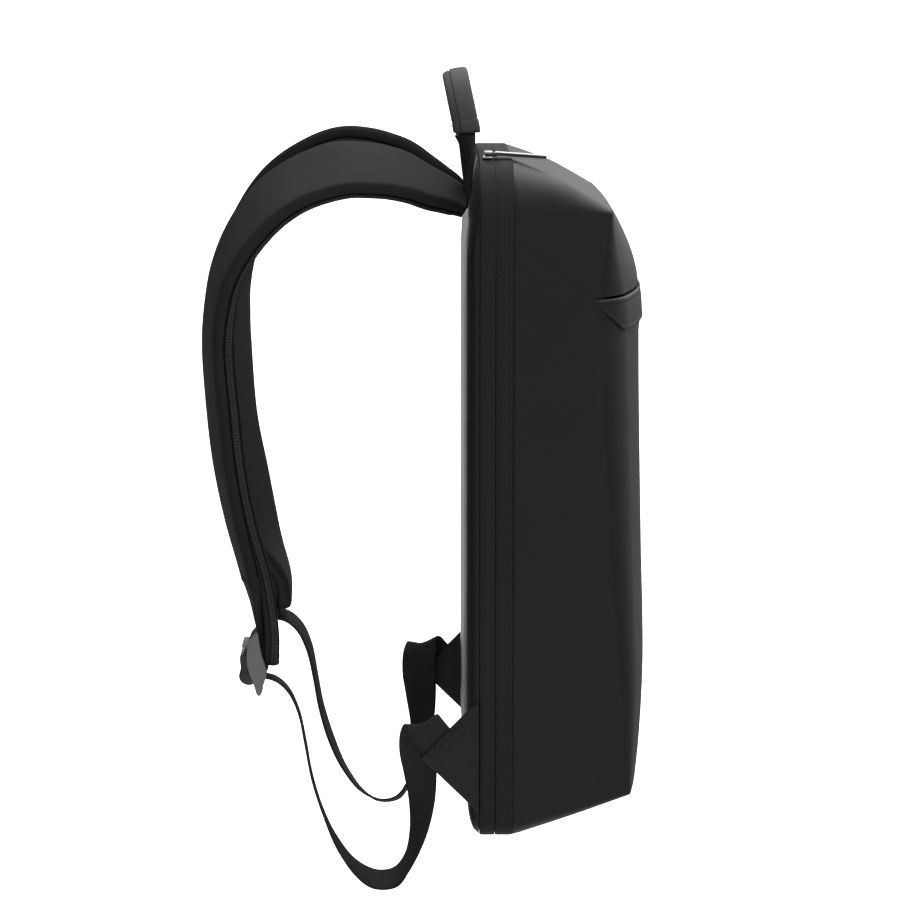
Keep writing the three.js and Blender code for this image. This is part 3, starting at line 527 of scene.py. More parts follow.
def thread():
    nodes = material_nodes("thread")
    twist = nodes.noise(2500, 2)
    return nodes.finish("coated_fabric", (twist, 0.007, 0.014), (twist, 0.5, 0.75), Specular_IOR_Level=0.2)


def moulded_plastic(name, dark, light):
    """Moulded plastic with a fine spark texture and slightly rubbed high spots."""
    nodes = material_nodes(name)
    wear = nodes.noise(60, 4)
    rough = (wear, 0.34, 0.5)
    spark = (nodes.noise(2200, 2), 0.15, 0.0002)
    return nodes.finish("buckle_plastic", (wear, dark, light), rough, spark, Specular_IOR_Level=0.5)


def plated_metal(name, dark, light):
    """Plated metal with faint polishing marks."""
    nodes = material_nodes(name)
    haze = nodes.noise(160, 4)
    marks = (nodes.noise(1800, 2), 0.05, 0.0001)
    return nodes.finish("zip_metal", (haze, dark, light), (haze, 0.12, 0.26), marks, Metallic=1.0)


BODY_CLOTH = coated_fabric("body_fabric", 0.0045, 0.0085, 0.46, 0.26)
STRAP_CLOTH = coated_fabric("strap_fabric", 0.0115, 0.0195, 0.75, 0.08)
GUSSET_CLOTH = coated_fabric("gusset_fabric", 0.0135, 0.021, 0.66, 0.09)
LINING_CLOTH = coated_fabric("lining_fabric", 0.014, 0.025, 0.78, 0.08)
TRIM_CLOTH = coated_fabric("trim_fabric", 0.009, 0.015, 0.5, 0.22)
GRIP_CLOTH = coated_fabric("grip_fabric", 0.055, 0.075, 0.7, 0.12)
KNIT = knit_mesh()
WEBBING = webbing_cloth()
THREAD = thread()
PLASTIC = moulded_plastic("buckle_plastic", 0.1, 0.14)
# A much darker copy of the buckle plastic, used on the tongue as painted shade
SHADED_PLASTIC = moulded_plastic("buckle_painted_shade_plastic", 0.007, 0.014)
METAL = plated_metal("zip_metal", 0.4, 0.58)
# A darker copy of the zip metal, for the slider's post, arms and bridge and the pull's middle: painted shade
SHADED_METAL = plated_metal("zip_painted_shade_metal", 0.03, 0.06)


# Body outline

ARC_STEPS = 14
STRAIGHT_STEP = 9.0


def body_outline(sides=0.0, top=0.0, bottom=0.0):
    """Points (x, z) of the body's rounded outline, drawn in, and their outward normals."""
    upper = max(TOP_CORNER - max(sides, top) * 0.5, 6)
    lower = max(BOTTOM_CORNER + (bottom - sides) * 0.5, 4)
    half, high, low = HALF_WIDTH - sides, TOP - top - upper, BOTTOM + bottom + lower
    corners = [(half - upper, high, upper), (upper - half, high, upper),
               (lower - half, low, lower), (half - lower, low, lower)]
    angles = np.radians(90 * np.arange(4)[:, None] + np.linspace(0, 90, ARC_STEPS + 1))
    normals = stacked(np.cos(angles), np.sin(angles))
    arcs = [np.array([x, z]) + radius * normal for (x, z, radius), normal in zip(corners, normals)]
    points = []
    outward = []
    for index, length in enumerate([2 * HALF_WIDTH, TOP - BOTTOM] * 2):
        count = int(length / STRAIGHT_STEP)
        shares = np.arange(1, count)[:, None] / count
        points += [arcs[index], mix(arcs[index][-1], arcs[index - 3][0], shares)]
        outward += [normals[index], np.broadcast_to(normals[index][-1], (count - 1, 2))]
    return np.vstack(points), np.vstack(outward)


OUTLINE, OUTLINE_NORMALS = body_outline()


def round_body(forward, lift):
    """The closed line that lies on the gusset at a distance forward, lifted off it."""
    flat = OUTLINE + OUTLINE_NORMALS * np.reshape(lift, (-1, 1))
    return stacked(flat[:, 0], -1.0 * forward, flat[:, 1])


# Gusset: two strips with rolled edges and sewn lines, and the zip between them

# Distance from the strip's sewn edge and lift, then the same from the zip, and where the edge goes under
STRIP_EDGE = [(0, -2), (0.02, -0.5), (0.3, -0.18), (0.9, 0), (1.8, 0.12)]
STRIP_ZIP = [(1.6, 0.1), (0.8, -0.03), (0.3, -0.22)]
STRIP_UNDER = [(0.12, -0.6), (0.12, -2)]
STRIP_LIFT = 0.15
FRONT_GAP = 0.06
SEWN_LINES = [BACK_SEAM + 2.6, ZIP_LINE - 2.4, ZIP_LINE + 2.4, FRONT_SEAM - 2.9]
# The zip's groove closes up between two heights, to a share of how far it is open below
GROOVE_END = (140, 176)
GROOVE_LEFT = 0.2


def gusset_strip(node, edge, way):
    """A strip from its sewn edge to the zip. way is 1 for the rear strip and -1 for the front one."""
    opened = mix(1, GROOVE_LEFT, smoothstep(OUTLINE[:, 1], *GROOVE_END))
    rings = [round_body(edge + way * away, lift) for away, lift in STRIP_EDGE]
    rings += [round_body(mix(edge, ZIP_LINE, share), STRIP_LIFT) for share in (0.3, 0.5, 0.7)]
    for away, lift in [(away, mix(STRIP_LIFT, lift, opened)) for away, lift in STRIP_ZIP] + STRIP_UNDER:
        rings.append(round_body(ZIP_LINE - way * away * opened, lift))
    new_piece(node, rings, tube_faces(len(rings), len(OUTLINE)), GUSSET_CLOTH)


def gusset_stitching():
    out = round_body(0.0, 1.0) - round_body(0.0, 0.0)
    shapes = []
    for sewn in SEWN_LINES:
        line = round_body(sewn, 0.0)
        shapes += stitches(np.vstack([line, line[:1]]), np.vstack([out, out[:1]]), *GUSSET_STITCH)
    new_piece(None, *joined(shapes), THREAD, "gusset_stitching")


def woven(along, across):
    """The places of a piece's points in a weave, along it and across it."""
    return stacked(along, across, 0.0)


# The zip's tape: its corners as the distance from the zip and the lift, and its weave's step round the body
TAPE = [(-5, -2.4), (5, -2.4), (5, -3.4), (-5, -3.4)]
TAPE_STEP = 8


def zip_tape():
    rings = [round_body(ZIP_LINE + away, lift) for away, lift in TAPE]
    count = len(OUTLINE)
    lay = woven(np.arange(count) * TAPE_STEP, np.array([[ZIP_LINE + away] for away, _ in TAPE]))
    new_piece("zip_tape", rings, tube_faces(len(TAPE), count), WEBBING, lay=lay)


gusset_strip("gusset_rear", BACK_SEAM, 1)
gusset_strip("gusset_front", FRONT_SEAM - FRONT_GAP, -1)
gusset_stitching()
zip_tape()


# Front body: hood, front panel and pocket lip

# Steps between rows beside an edge and beside the seam, and shares of the way from the gusset along a side
EDGE_STEPS = np.array([0, 0.6, 1.6, 3, 5, 8, 12])
SEAM_STEPS = np.array([-6, -3.5, -1.8, -0.8, 0, 0.8, 1.8, 3.5, 6])
SIDE_SHARES = np.append([0, 0.008, 0.018, 0.032, 0.05, 0.075], np.linspace(0.11, 1, 20)[:-1])
CORNER_INSETS = TOP_CORNER * (1 - np.cos(np.radians(np.linspace(0, 90, 22))))
FLAT_INSETS = np.linspace(TOP_CORNER, HALF_WIDTH, 12)[1:]
FRONT_CURVE = smooth_rows(FRONT_LINES[BASE_EDGE : HOOD_CREASE + 1], np.linspace(0, 1, 600))


def front_rows():
    """Rows of the front body's table close together, and its base edge, crease and seam among them."""
    base_shares = np.append(np.linspace(0, 0.94, 18), [0.965, 0.985, 0.995])
    base = smooth_rows(FRONT_LINES[: BASE_EDGE + 1], base_shares)
    low, high = FRONT_CURVE[[0, -1], 2]
    heights = np.concatenate([
        low + EDGE_STEPS, np.arange(low + 18, SEAM_FRONT_Z - 8, 6.5), SEAM_FRONT_Z + SEAM_STEPS,
        np.arange(SEAM_FRONT_Z + 9, high - 13, 4), high - EDGE_STEPS[::-1],
    ])
    front = stacked(*read_off(FRONT_CURVE, heights, 2, range(6)))
    top_shares = np.append([0.005, 0.015, 0.035, 0.06], np.linspace(0.1, 1, 24))
    rows = np.vstack([base, front, smooth_rows(FRONT_LINES[HOOD_CREASE:], top_shares)])
    rows[:, 4:] = np.clip(rows[:, 4:], -1, 1)
    seam = len(base) + int(np.argmin(np.abs(heights - SEAM_FRONT_Z)))
    return rows, len(base), len(base) + len(heights) - 1, seam


def corner_inset(from_side, depth, stretch):
    """How far a rounded edge draws in. Its depth and its reach from the side are the ellipse's radii."""
    inside = np.clip(1 - from_side / (depth * stretch), 0, 1)
    return depth * (1 - np.sqrt(1 - inside**2))


def bowed(sides, middle, x):
    return mix(sides, middle, 1 - (x / HALF_WIDTH) ** 2)


def front_grid():
    """The front body's outer face: each row runs from the seam along one side, across and back."""
    rows, base_edge, crease, seam = front_rows()
    half = HALF_WIDTH - np.append(CORNER_INSETS, FLAT_INSETS)
    x = np.append(half, -half[:-1][::-1])
    sides, middle, height, depth, way_y, way_z = rows.T[:, :, None]
    inset = corner_inset(HALF_WIDTH - np.abs(x), depth, 1 + np.clip(way_y, 0, 1))
    across = stacked(x, way_y * inset - bowed(sides, middle, x), height + way_z * inset)
    for _ in range(3):
        for edge, reach in ((base_edge, 3), (crease, 4)):
            span = np.arange(edge - reach, edge + reach + 1)
            across[span] = (across[span - 1] + 2 * across[span] + across[span + 1]) / 4
    index = np.arange(len(rows))
    low, high = across[[0, -1], 0, 2]
    top_start = SEAM_BACK_Z + 0.3
    seam_edge_z = np.interp(index, [0, base_edge, seam, crease], [low, low + 9, SEAM_BACK_Z, top_start])
    over_top = np.clip((index - crease) / (len(rows) - 1 - crease), 0, 1)
    seam_edge_z += (high - top_start) * over_top**3
    start = stacked(HALF_WIDTH, -FRONT_SEAM, seam_edge_z)
    side = mix(start[:, None], across[:, :1], SIDE_SHARES[:, None])
    return np.concatenate([side, across, mirror(side, "left")[:, ::-1]], axis=1), seam


def seam_distance(grid):
    """How far a point lies above the hood's seam: along the side it slants down to the front."""
    forward, z = -grid[..., 1], grid[..., 2]
    slope = (SEAM_BACK_Z - SEAM_FRONT_Z) / (SEAM_FORWARD - FRONT_SEAM)
    slanted = (z - SEAM_BACK_Z + slope * (forward - FRONT_SEAM)) / math.hypot(1, slope)
    return np.maximum(slanted, z - SEAM_FRONT_Z)


def outline_way(grid):
    """The way straight out of the body's rounded outline, as it is seen from the front."""
    x, z = grid[..., 0], grid[..., 2]
    radius = np.where(z > 0, TOP_CORNER, BOTTOM_CORNER)
    above = np.clip(z - (TOP - TOP_CORNER), 0, None) + np.clip(z - (BOTTOM + BOTTOM_CORNER), None, 0)
    aside = np.sign(x) * np.clip(np.abs(x) - (HALF_WIDTH - radius), 0, None)
    return unit(stacked(aside, 0.0, above + 1e-6))


# The filling of the sides: the middle and reach of the swelling as seen from the side, its rise and how
# far out it starts, then the rise of slow waves in the cloth and their lengths along Z and Y
BELLY = {"forward": 66, "reach": 40, "height": 215, "rise": 1.6, "inner_x": 130}
WAVES = (0.25, 31, 19)
# Rolls along the gusset's seam, in it, and along the hood's edge: distance from the seam, spread and rise
SEAM_ROLL = (2.6, 1.4, 0.1)
SEAM_SINK = (0, 0.4, 0.32)
HOOD_ROLL = (0.8, 1.6, 0.7)
# Half the width of the hood's seam at the gusset, and how much it opens on the side and over the pocket,
# each with how far forward it starts to open and is open
SLIT_LEAST = 0.02
SIDE_SLIT = (0.08, 44, 54)
POCKET_SLIT = (0.7, 84, 99)


def puffed(grid):
    """The front body's face with its filling: soft sides, rolled seams and slow waves in the cloth."""
    normals = grid_normals(grid, (0, -60.0, 0))
    upright = np.abs(grid[..., 0]) > HALF_WIDTH - 0.01
    normals[upright] = np.sign(grid[upright][:, :1]) * np.array([1.0, 0, 0])
    forward, z = -grid[..., 1], grid[..., 2]
    sewn = (1 - smoothstep(forward, FRONT_SEAM + 1, FRONT_SEAM + 8))[..., None]
    normals = unit(mix(normals, outline_way(grid), sewn))
    belly = np.clip(1 - ((forward - BELLY["forward"]) / BELLY["reach"]) ** 2, 0, 1)
    belly = belly * np.clip(1 - (z / BELLY["height"]) ** 2, 0, 1)
    lift = BELLY["rise"] * belly * smoothstep(np.abs(grid[..., 0]), BELLY["inner_x"], HALF_WIDTH)
    lift += WAVES[0] * np.sin(z / WAVES[1] + forward / WAVES[2]) * belly
    from_seam = np.clip(forward - FRONT_SEAM, 0, None)
    lift += hump(from_seam, *SEAM_ROLL) - hump(from_seam, *SEAM_SINK)
    hood = seam_distance(grid)
    lift += hump(hood, *HOOD_ROLL) * (hood > 0) * smoothstep(forward, *POCKET_SLIT[1:])
    return grid + normals * lift[..., None], normals


front_all, seam_row = front_grid()
front_face, front_normals = puffed(front_all)
seam_forward = -front_all[seam_row, :, 1]
slit_half = SLIT_LEAST + sum(
    most * smoothstep(seam_forward, start, full) for most, start, full in (SIDE_SLIT, POCKET_SLIT)
)


def front_part(node, rows, edge_row, shift, roll):
    """One side of the hood's seam. Its edge is cut back for the slit and rolls in by a depth."""
    face = front_face[rows].copy()
    face -= front_normals[rows] * roll * hump(seam_distance(front_all[rows]), 0, 0.7)[..., None]
    face[edge_row, :, 2] += shift * slit_half
    points = np.stack([face, face - front_normals[rows] * WALL])
    new_piece(node, points, shell_faces(*face.shape[:2]), BODY_CLOTH, sharp=50)


# The pocket lip: the front's edge bend that it follows, its grid, its gap to the front, and its hem and
# the sewn groove beside it, as the distance from the edge, spread and height
EDGE_BEND = 32
LIP_COLUMNS = 121
LIP_STEPS = 30
LIP_GAP = 0.3
LIP_HEM = (1.8, 1.2, 0.12)
LIP_GROOVE = (4.2, 0.7, 0.15)


def plan_curve(z):
    """The front at one height from the middle to the end of its rounded edge: x, y and run."""
    sides, middle, corner = read_off(FRONT_CURVE, z, 2, (0, 1, 3))
    bend = EDGE_BEND * np.cos(np.radians(np.linspace(0, 90, 60)))
    x = np.append(np.linspace(0, HALF_WIDTH - EDGE_BEND, 40)[:-1], HALF_WIDTH - bend)
    y = corner_inset(HALF_WIDTH - x, corner, 2) - bowed(sides, middle, x)
    return x, y, run_along(stacked(x, y))


def pocket_lip():
    """A folded band under the slit: its edge is turned in, and sewn down a little way from it."""
    low, high = LIP_ROWS[[0, -1], 0]
    heights = np.linspace(high, low, LIP_STEPS)
    reaches, rises = read_off(LIP_ROWS, heights, 0, (1, 2))
    place = np.linspace(-1, 1, LIP_COLUMNS)
    spread = np.sign(place) * (1 - (1 - np.abs(place)) ** 1.6)
    ground = np.zeros((LIP_STEPS, LIP_COLUMNS, 3))
    to_edge = np.zeros((LIP_STEPS, LIP_COLUMNS))
    for row, (z, reach) in enumerate(zip(heights, reaches)):
        x, y, run = plan_curve(z)
        along = np.abs(spread) * reach * run[-1]
        ground[row, :, 0] = np.sign(spread) * np.interp(along, run, x)
        ground[row, :, 1] = np.interp(along, run, y)
        ground[row, :, 2] = z
        to_edge[row] = np.minimum(reach * run[-1] - along, min(z - low, high + 0.1 - z))
    normals = grid_normals(ground, (0, -60.0, 120))
    rise = LIP_GAP + rises[:, None] * (1 - np.exp(-(to_edge + 0.15) / 0.5))
    rise += hump(to_edge, *LIP_HEM) - hump(to_edge, *LIP_GROOVE)
    points = np.stack([ground + normals * rise[..., None], ground + normals * LIP_GAP * 0.5])
    new_piece("pocket_lip", points, shell_faces(LIP_STEPS, LIP_COLUMNS), BODY_CLOTH)


front_part("front_panel", slice(0, seam_row + 1), -1, -1, 0.05)
front_part("hood", slice(seam_row, None), 0, 1, 0.45)
pocket_lip()


# Back panel

# The back panel's filling: how far its face starts behind its place, how deep the held seam is, the
# pressure, the most that the cloth may move and the number of steps
FILLING = {"behind": 0.9, "seam_y": -1.2, "pressure": 4.0, "most": 1.5, "steps": 20}
# The heights between which the panel's middle line runs, and how far it stands out
SPINE = (-95, 70)
CROWN = 0.6


def filled_out(piece):
    """Lets a padded piece swell under pressure with its seam held, and keeps the form it comes to."""
    vertices = piece.data.vertices
    rest = np.array([vertex.co[:] for vertex in vertices])
    held = piece.vertex_groups.new(name="seam")
    held.add(np.flatnonzero(rest[:, 1] < FILLING["seam_y"] * MM).tolist(), 1.0, "REPLACE")
    cloth = piece.modifiers.new("filling", "CLOTH")
    cloth.settings.vertex_group_mass = held.name
    cloth.settings.use_pressure = True
    cloth.settings.uniform_pressure_force = FILLING["pressure"]
    cloth.settings.effector_weights.gravity = 0
    for step in range(1, FILLING["steps"] + 1):
        bpy.context.scene.frame_set(step)
    swollen = piece.evaluated_get(bpy.context.evaluated_depsgraph_get())
    moved = np.array([vertex.co[:] for vertex in swollen.data.vertices]) - rest
    piece.modifiers.remove(cloth)
    piece.vertex_groups.remove(held)
    bpy.context.scene.frame_set(1)
    length = np.linalg.norm(moved, axis=1, keepdims=True)
    form = rest + moved * np.minimum(1, FILLING["most"] * MM / np.maximum(length, 1e-9))
    vertices.foreach_set("co", form.ravel())
    piece.data.update()


def back_panel():
    """A padded panel: rings from its seam to its face, then in to the middle over a crown."""
    rings = []
    for y, *drawn_in in smooth_rows(BACK_ROWS, np.linspace(0, 1, 26)):
        flat, _ = body_outline(*drawn_in)
        rings.append(stacked(flat[:, 0], y, flat[:, 1]))
    last = rings[-1]
    spine = stacked(0.0, 0.0, np.clip(last[:, 2], *SPINE))
    for share in np.linspace(0, 1, 16)[1:]:
        ring = mix(last, spine, share)
        ring[:, 1] = CROWN * (1 - (1 - share) ** 2)
        rings.append(ring)
    grid = np.stack(rings)
    grid[..., 1] -= FILLING["behind"] * smoothstep(grid[..., 1], -0.8, 0.1)
    piece = swept_piece("back_panel", grid, BODY_CLOTH)
    work = bmesh.new()
    work.from_mesh(piece.data)
    bmesh.ops.remove_doubles(work, verts=work.verts, dist=0.00005)
    work.to_mesh(piece.data)
    work.free()
    filled_out(piece)


back_panel()


# Shoulder straps


def strap_stations(shares, side):
    """A strap's stations at shares of its length: place, across, up and the table's rows."""
    rows = smooth_rows(STRAP_ROWS, shares)
    tangents = unit(np.gradient(rows[:, :3], axis=0))
    level = square_to(tangents, np.array([1.0, 0, 0]))
    across = turned_about(tangents, level, rows[:, 4] + LOOSE[side] * rows[:, 8])
    up = unit(np.cross(across, tangents))
    return rows[:, :3] + up * (LOOSE[side] * rows[:, 7:8]), across, up, rows


def layer_limits(name, rows):
    """A layer's lower and upper offsets and how far in it ends, at each of a strap's rows."""
    wrapped, proud = (np.array(STRAP_LAYERS[name][key]) for key in ("wrapped", "proud"))
    low, high, inset = mix(wrapped, proud, np.clip(rows[:, 6:7], 0, 1)).T
    return low * rows[:, 5], high * rows[:, 5], inset


def carried(places, across, up, section, side="right"):
    """Sections (a, b) at each station, carried into space on one side."""
    points = places[:, None] + section[..., :1] * across[:, None] + section[..., 1:] * up[:, None]
    return mirror(points, side)


def end_round(places, radius):
    """The share of its size that a rounded end keeps, which falls to nothing at the end of a course."""
    run = run_along(places)
    left = np.clip((run[-1] - run) / radius, 0, 1)
    return np.sqrt(np.clip(1 - (1 - left) ** 2, 0.004, 1))


def soft_section(corners, passes):
    """Sections along a piece from the places that each corner takes, with the corners rounded."""
    return rounded(np.stack([stacked(*corner) for corner in corners], axis=1), passes)


def pillow(half, low, high, crown):
    """A flat strip with a soft crown on one side and rounded edges."""
    flat, proud = (low, high) if crown > 0 else (high, low)
    middle = (low + high) / 2
    edge = np.minimum(3, half / 3)
    one_side = [
        (half - 0.6, flat), (half, middle - crown * 0.6), (half, middle + crown * 0.4),
        (half - edge * 0.45, proud - crown * 1.1), (half - edge * 1.6, proud - crown * 0.6),
        (half * 0.5, proud - crown * 0.2),
    ]
    return soft_section([(0 * half, flat)] + one_side + [(-a, b) for a, b in one_side[::-1]], 2)


def band_section(width, thickness):
    """A flat band's section with soft edges, for each width given."""
    w, t = width / 2, thickness / 2
    one_face = [(-w, -t * 0.4), (-w + 0.5, -t), (0 * w, -t), (w - 0.5, -t), (w, -t * 0.4)]
    return soft_section(one_face + [(-a, -b) for a, b in one_face], 1)


def strap_shares(last, rounding):
    """Evenly spaced shares of a strap's length, closer together over its rounded end."""
    even = np.linspace(0, last - rounding, STRAP_STEPS)
    return np.append(even, last - rounding * np.cos(np.radians(np.linspace(6, 90, 14))))


def strap_face(side):
    """The smooth face, whose top runs on over its end."""
    places, across, up, rows = strap_stations(strap_shares(FACE_END, 0.006), side)
    low, high, drawn_in = layer_limits("face", rows)
    inset = FACE_ROUND * (1 - end_round(places, FACE_ROUND))
    section = pillow(rows[:, 3] / 2 - drawn_in - inset, low + inset, high - inset, 1)
    run = run_along(places)
    slant = FACE_SLANT * smoothstep(run, run[-1] - FACE_SLANT_RUN, run[-1])
    onward = (section[..., 1:] - (low + high)[:, None, None] / 2) * slant[:, None, None]
    rings = carried(places, across, up, section, side) + mirror(onward * np.cross(up, across)[:, None], side)
    piece = swept_piece(f"strap_face_{side}", rings, STRAP_CLOTH)


# Towards a strap's end the band gives way to a smooth edge under the tail: over which shares of the
# length, and the band's and the lining's last offsets. On the right strap the lining covers the band
PAD_TURN = (0.78, 0.93)
BAND_LAST = (-8.2, -3.5)
LINING_LAST = -8.4
PAD_COVER = (0.68, 0.78)
# How far the band and the smooth edge run on inside their neighbours, and how much further the edge
# does so at the right strap's end, over which shares of the length
TUCK = 0.3
EDGE_OVERLAP = 0.9
RIGHT_FILL = 7.5
FILL_SHARES = (0.84, 0.93)
# How deep the smooth edge lies inside the band's edge, at the strap's end and before it, and how far
# the band is drawn in where the lining covers it
EDGE_SUNK = (0.2, 1.7)
COVER_INSET = 3
# The pad's round end: its radius across the thickness and along the sides, and how far the sides close in
PAD_ROUND = 4.4
PAD_SIDE_ROUND = 8
PAD_SIDE_INSET = 5
# Levels of the band's edge from its foot to its top, and how far the edge bulges
BAND_LEVELS = np.array([0, 0.06, 0.2, 0.36, 0.5, 0.64, 0.8, 0.94, 1])
BAND_BULGE = 0.8


def strap_pad(side):
    """The knitted band, the lining and the smooth edge under the face. All close in a round end."""
    shares = strap_shares(1, 0.02)
    places, across, up, rows = strap_stations(shares, side)
    thick = rows[:, 5]
    turned = smoothstep(shares, *PAD_TURN)
    covered = LOOSE[side] * smoothstep(shares, *PAD_COVER)
    shrink = end_round(places, PAD_ROUND)
    half = rows[:, 3] / 2 - PAD_SIDE_INSET * (1 - end_round(places, PAD_SIDE_ROUND))
    band_low, edge_high, band_in = layer_limits("mesh_band", rows)
    lining_low, lining_high, lining_in = layer_limits("lining", rows)
    middle = (edge_high + lining_low) / 2
    band_low = mix(band_low, BAND_LAST[0] * thick, turned)
    band_high = mix(edge_high, BAND_LAST[1] * thick, turned)
    lining_high = mix(mix(lining_high, LINING_LAST * thick, turned), edge_high, covered)
    band_half = half - band_in - COVER_INSET * covered

    def drawn(offsets):
        return mix(middle, offsets, shrink)

    def laid(node, section, look, name=None, lay=None):
        return swept_piece(node, carried(places, across, up, section, side), look, name, lay)

    low, high = drawn(band_low - TUCK)[:, None], drawn(band_high + TUCK)[:, None]
    edge_a = band_half[:, None] - BAND_BULGE * (2 * BAND_LEVELS - 1) ** 4
    edge_b = mix(low, high, BAND_LEVELS)
    near, far = (stacked(way * edge_a, edge_b) for way in (1, -1))
    section = np.concatenate([near, far[:, ::-1]], axis=1)
    lay = woven(run_along(places)[:, None], section[..., 1] - high)
    laid(f"strap_mesh_band_{side}", section, KNIT, f"strap_band_{side}_knit", lay)
    section = pillow(half - lining_in, drawn(lining_low), drawn(lining_high), -1)
    piece = laid(f"strap_lining_{side}", section, LINING_CLOTH)
    filled = EDGE_OVERLAP + LOOSE[side] * RIGHT_FILL * smoothstep(shares, *FILL_SHARES)
    sunk = mix(*EDGE_SUNK, 1 - turned)
    section = pillow(band_half - sunk, drawn(band_high - EDGE_OVERLAP), drawn(edge_high + filled), -1)
    laid(None, section, STRAP_CLOTH, f"strap_edge_{side}_cloth")


def strap_tail(side):
    """The wedge that carries on from the end of the face, narrowing to the buckle."""
    shares = np.linspace(TAIL_ROWS[0, 0] - TAIL_TUCK, TAIL_ROWS[-1, 0], 40)
    places, across, up, _ = strap_stations(shares, side)
    width, low, high = read_off(TAIL_ROWS, shares, 0, (1, 2, 3))
    inset = TAIL_ROUND * (1 - end_round(places, TAIL_ROUND))
    section = pillow(width / 2 - inset, low + inset, high - inset, 1)
    swept_piece(f"strap_tail_{side}", carried(places, across, up, section, side), STRAP_CLOTH)


# Webbing and anchor tabs


def woven_band(node, stations, width, thickness, side="right", name=None, along=None):
    """A flat woven band. along holds the places that its weave is measured by, if not its own."""
    section = band_section(width, thickness)
    lay = woven(run_along(stations[0] if along is None else along)[:, None], section[..., 0])
    swept_piece(node, carried(*stations, section, side), WEBBING, name, lay)


def webbing(side):
    shares = np.linspace(0, 1, WEBBING_STEPS + 1)
    rows = smooth_rows(WEBBING_ROWS, shares)
    places = rows[:, :3]
    places[:, 2] -= SAGS[side] * (1 - smoothstep(shares, *SAG_SHARES))
    tangents = unit(np.gradient(places, axis=0))
    turn = TURNS[side] * (1 - smoothstep(shares, *TURN_SHARES))
    across = turned_about(tangents, square_to(tangents, rows[:, 3:]), turn)
    stations = places, across, unit(np.cross(tangents, across))
    width = np.full(len(rows), WEBBING_WIDTH)
    woven_band(f"webbing_{side}", stations, width, WEBBING_THICKNESS, side)


# Creases in the outer leaf: where they run, as Y and Z, their spread and how far they lift the cloth
TAB_CREASES = [
    ((5.5, -168.5), (-8, -176.6), 1.1, 0.45), ((4, -171.5), (-7, -178.6), 0.9, -0.35),
    ((17.5, -177), (5.5, -180.8), 1.0, 0.35),
]
# The hem along its top: width and height, and the sewn groove beside it, as place, spread and depth
HEM = 2.6
HEM_RISE = 0.4
HEM_GROOVE = (HEM + 0.5, 0.5, 0.3)
# The inner and outer face of each leaf, as pairs of Y and X
OUTER_LEAF = ([(-9.4, 146.4), (-3, 145.3), (30, 145.2)], [(-9.4, 147.8), (-1, 147), (30, 146.8)])
INNER_LEAF = (
    [(-9.4, 145.2), (-4, 143.2), (-1.5, 142), (30, 141.8)],
    [(-9.4, 146.1), (-3, 144.4), (1, 142.9), (30, 142.8)],
)
# The lines of stitches on the outer leaf, as pairs of Y and Z
TAB_STITCHES = [
    [(-8, -141), (27.5, -176.5)], [(3, -152), (16.5, -165.5), (12.5, -169.5), (-1, -156), (3, -152)],
]


def crease(y, z, start, end, spread):
    """How strongly a short crease between two places on a leaf works at each of its points."""
    (y0, z0), (y1, z1) = start, end
    length = math.hypot(y1 - y0, z1 - z0)
    along = ((y - y0) * (y1 - y0) + (z - z0) * (z1 - z0)) / length**2
    away = ((y - y0) * (z1 - z0) - (z - z0) * (y1 - y0)) / length
    return hump(away, 0, spread) * np.clip(4 * along * (1 - along), 0, 1)


def anchor_leaf(inner_x, outer_x, hemmed):
    """One triangular leaf of an anchor tab, from its seam to its tip, as an outer and inner grid."""
    along = np.append(np.linspace(0, 0.95, 64), [0.965, 0.985])[:, None]
    up = np.concatenate([[0, 0.008, 0.02, 0.035], np.linspace(0.05, 0.95, 64), [0.965, 0.98, 0.992, 1]])
    y, low, top = (mix(seam, tip, along) for seam, tip in ANCHOR_LINES)
    z = mix(low, top, up)
    to_top = (top - z) * 0.707
    to_edge = np.minimum(to_top, (z - low) * 0.707)
    soft = 1 - np.exp(-(to_edge + 0.25) / 0.6)
    sides = [np.interp(y, *zip(*table)) for table in (outer_x, inner_x)]
    centre = (sides[0] + sides[1]) / 2
    grids = np.stack([stacked(mix(centre, x, soft), y, z) for x in sides])
    if hemmed:
        outer = grids[0, :, :, 0]
        outer += HEM_RISE * (1 - smoothstep(to_top, HEM - 0.3, HEM + 0.2)) * soft
        outer -= hump(to_top, *HEM_GROOVE)
        for start, end, spread, rise in TAB_CREASES:
            outer += rise * crease(y, z, start, end, spread)
    return grids


def anchor_tab(side):
    leaves = [anchor_leaf(*OUTER_LEAF, True), anchor_leaf(*INNER_LEAF, False)]
    shapes = [(mirror(grids, side), shell_faces(*grids.shape[1:3])) for grids in leaves]
    new_piece(f"anchor_tab_{side}", *joined(shapes), TRIM_CLOTH)
    shapes = []
    for corners in TAB_STITCHES:
        y, z = np.array(corners).T
        path = stacked(np.interp(y, *zip(*OUTER_LEAF[1])), y, z)
        out = np.broadcast_to(np.array([1.0, 0, 0]), path.shape)
        shapes += stitches(mirror(path, side), mirror(out, side), *TAB_STITCH)
    new_piece(None, *joined(shapes), THREAD, f"anchor_tab_{side}_stitching")


# Buckles

# Outlines seen from the side, as Y and Z
BUCKLE_PLATE = np.array([
    (140.2, -93.4), (139.9, -96), (138.1, -108.8), (135.6, -115.7), (133.9, -123.4), (136.8, -129.6),
    (137.2, -134.8), (139.4, -138.4), (141.6, -137), (143.2, -130.4), (145.9, -124.3), (148.4, -115.5),
    (148.1, -105.4), (146.3, -98.7),
])
BUCKLE_TONGUE = np.array([
    (152.6, -109.1), (147.6, -108.3), (147.4, -120.2), (143.2, -127), (142.4, -129.6), (146.6, -131.2),
    (151.2, -129.6), (153.6, -126.1), (153.4, -122.6), (151.8, -120.2), (152.9, -114.3),
])
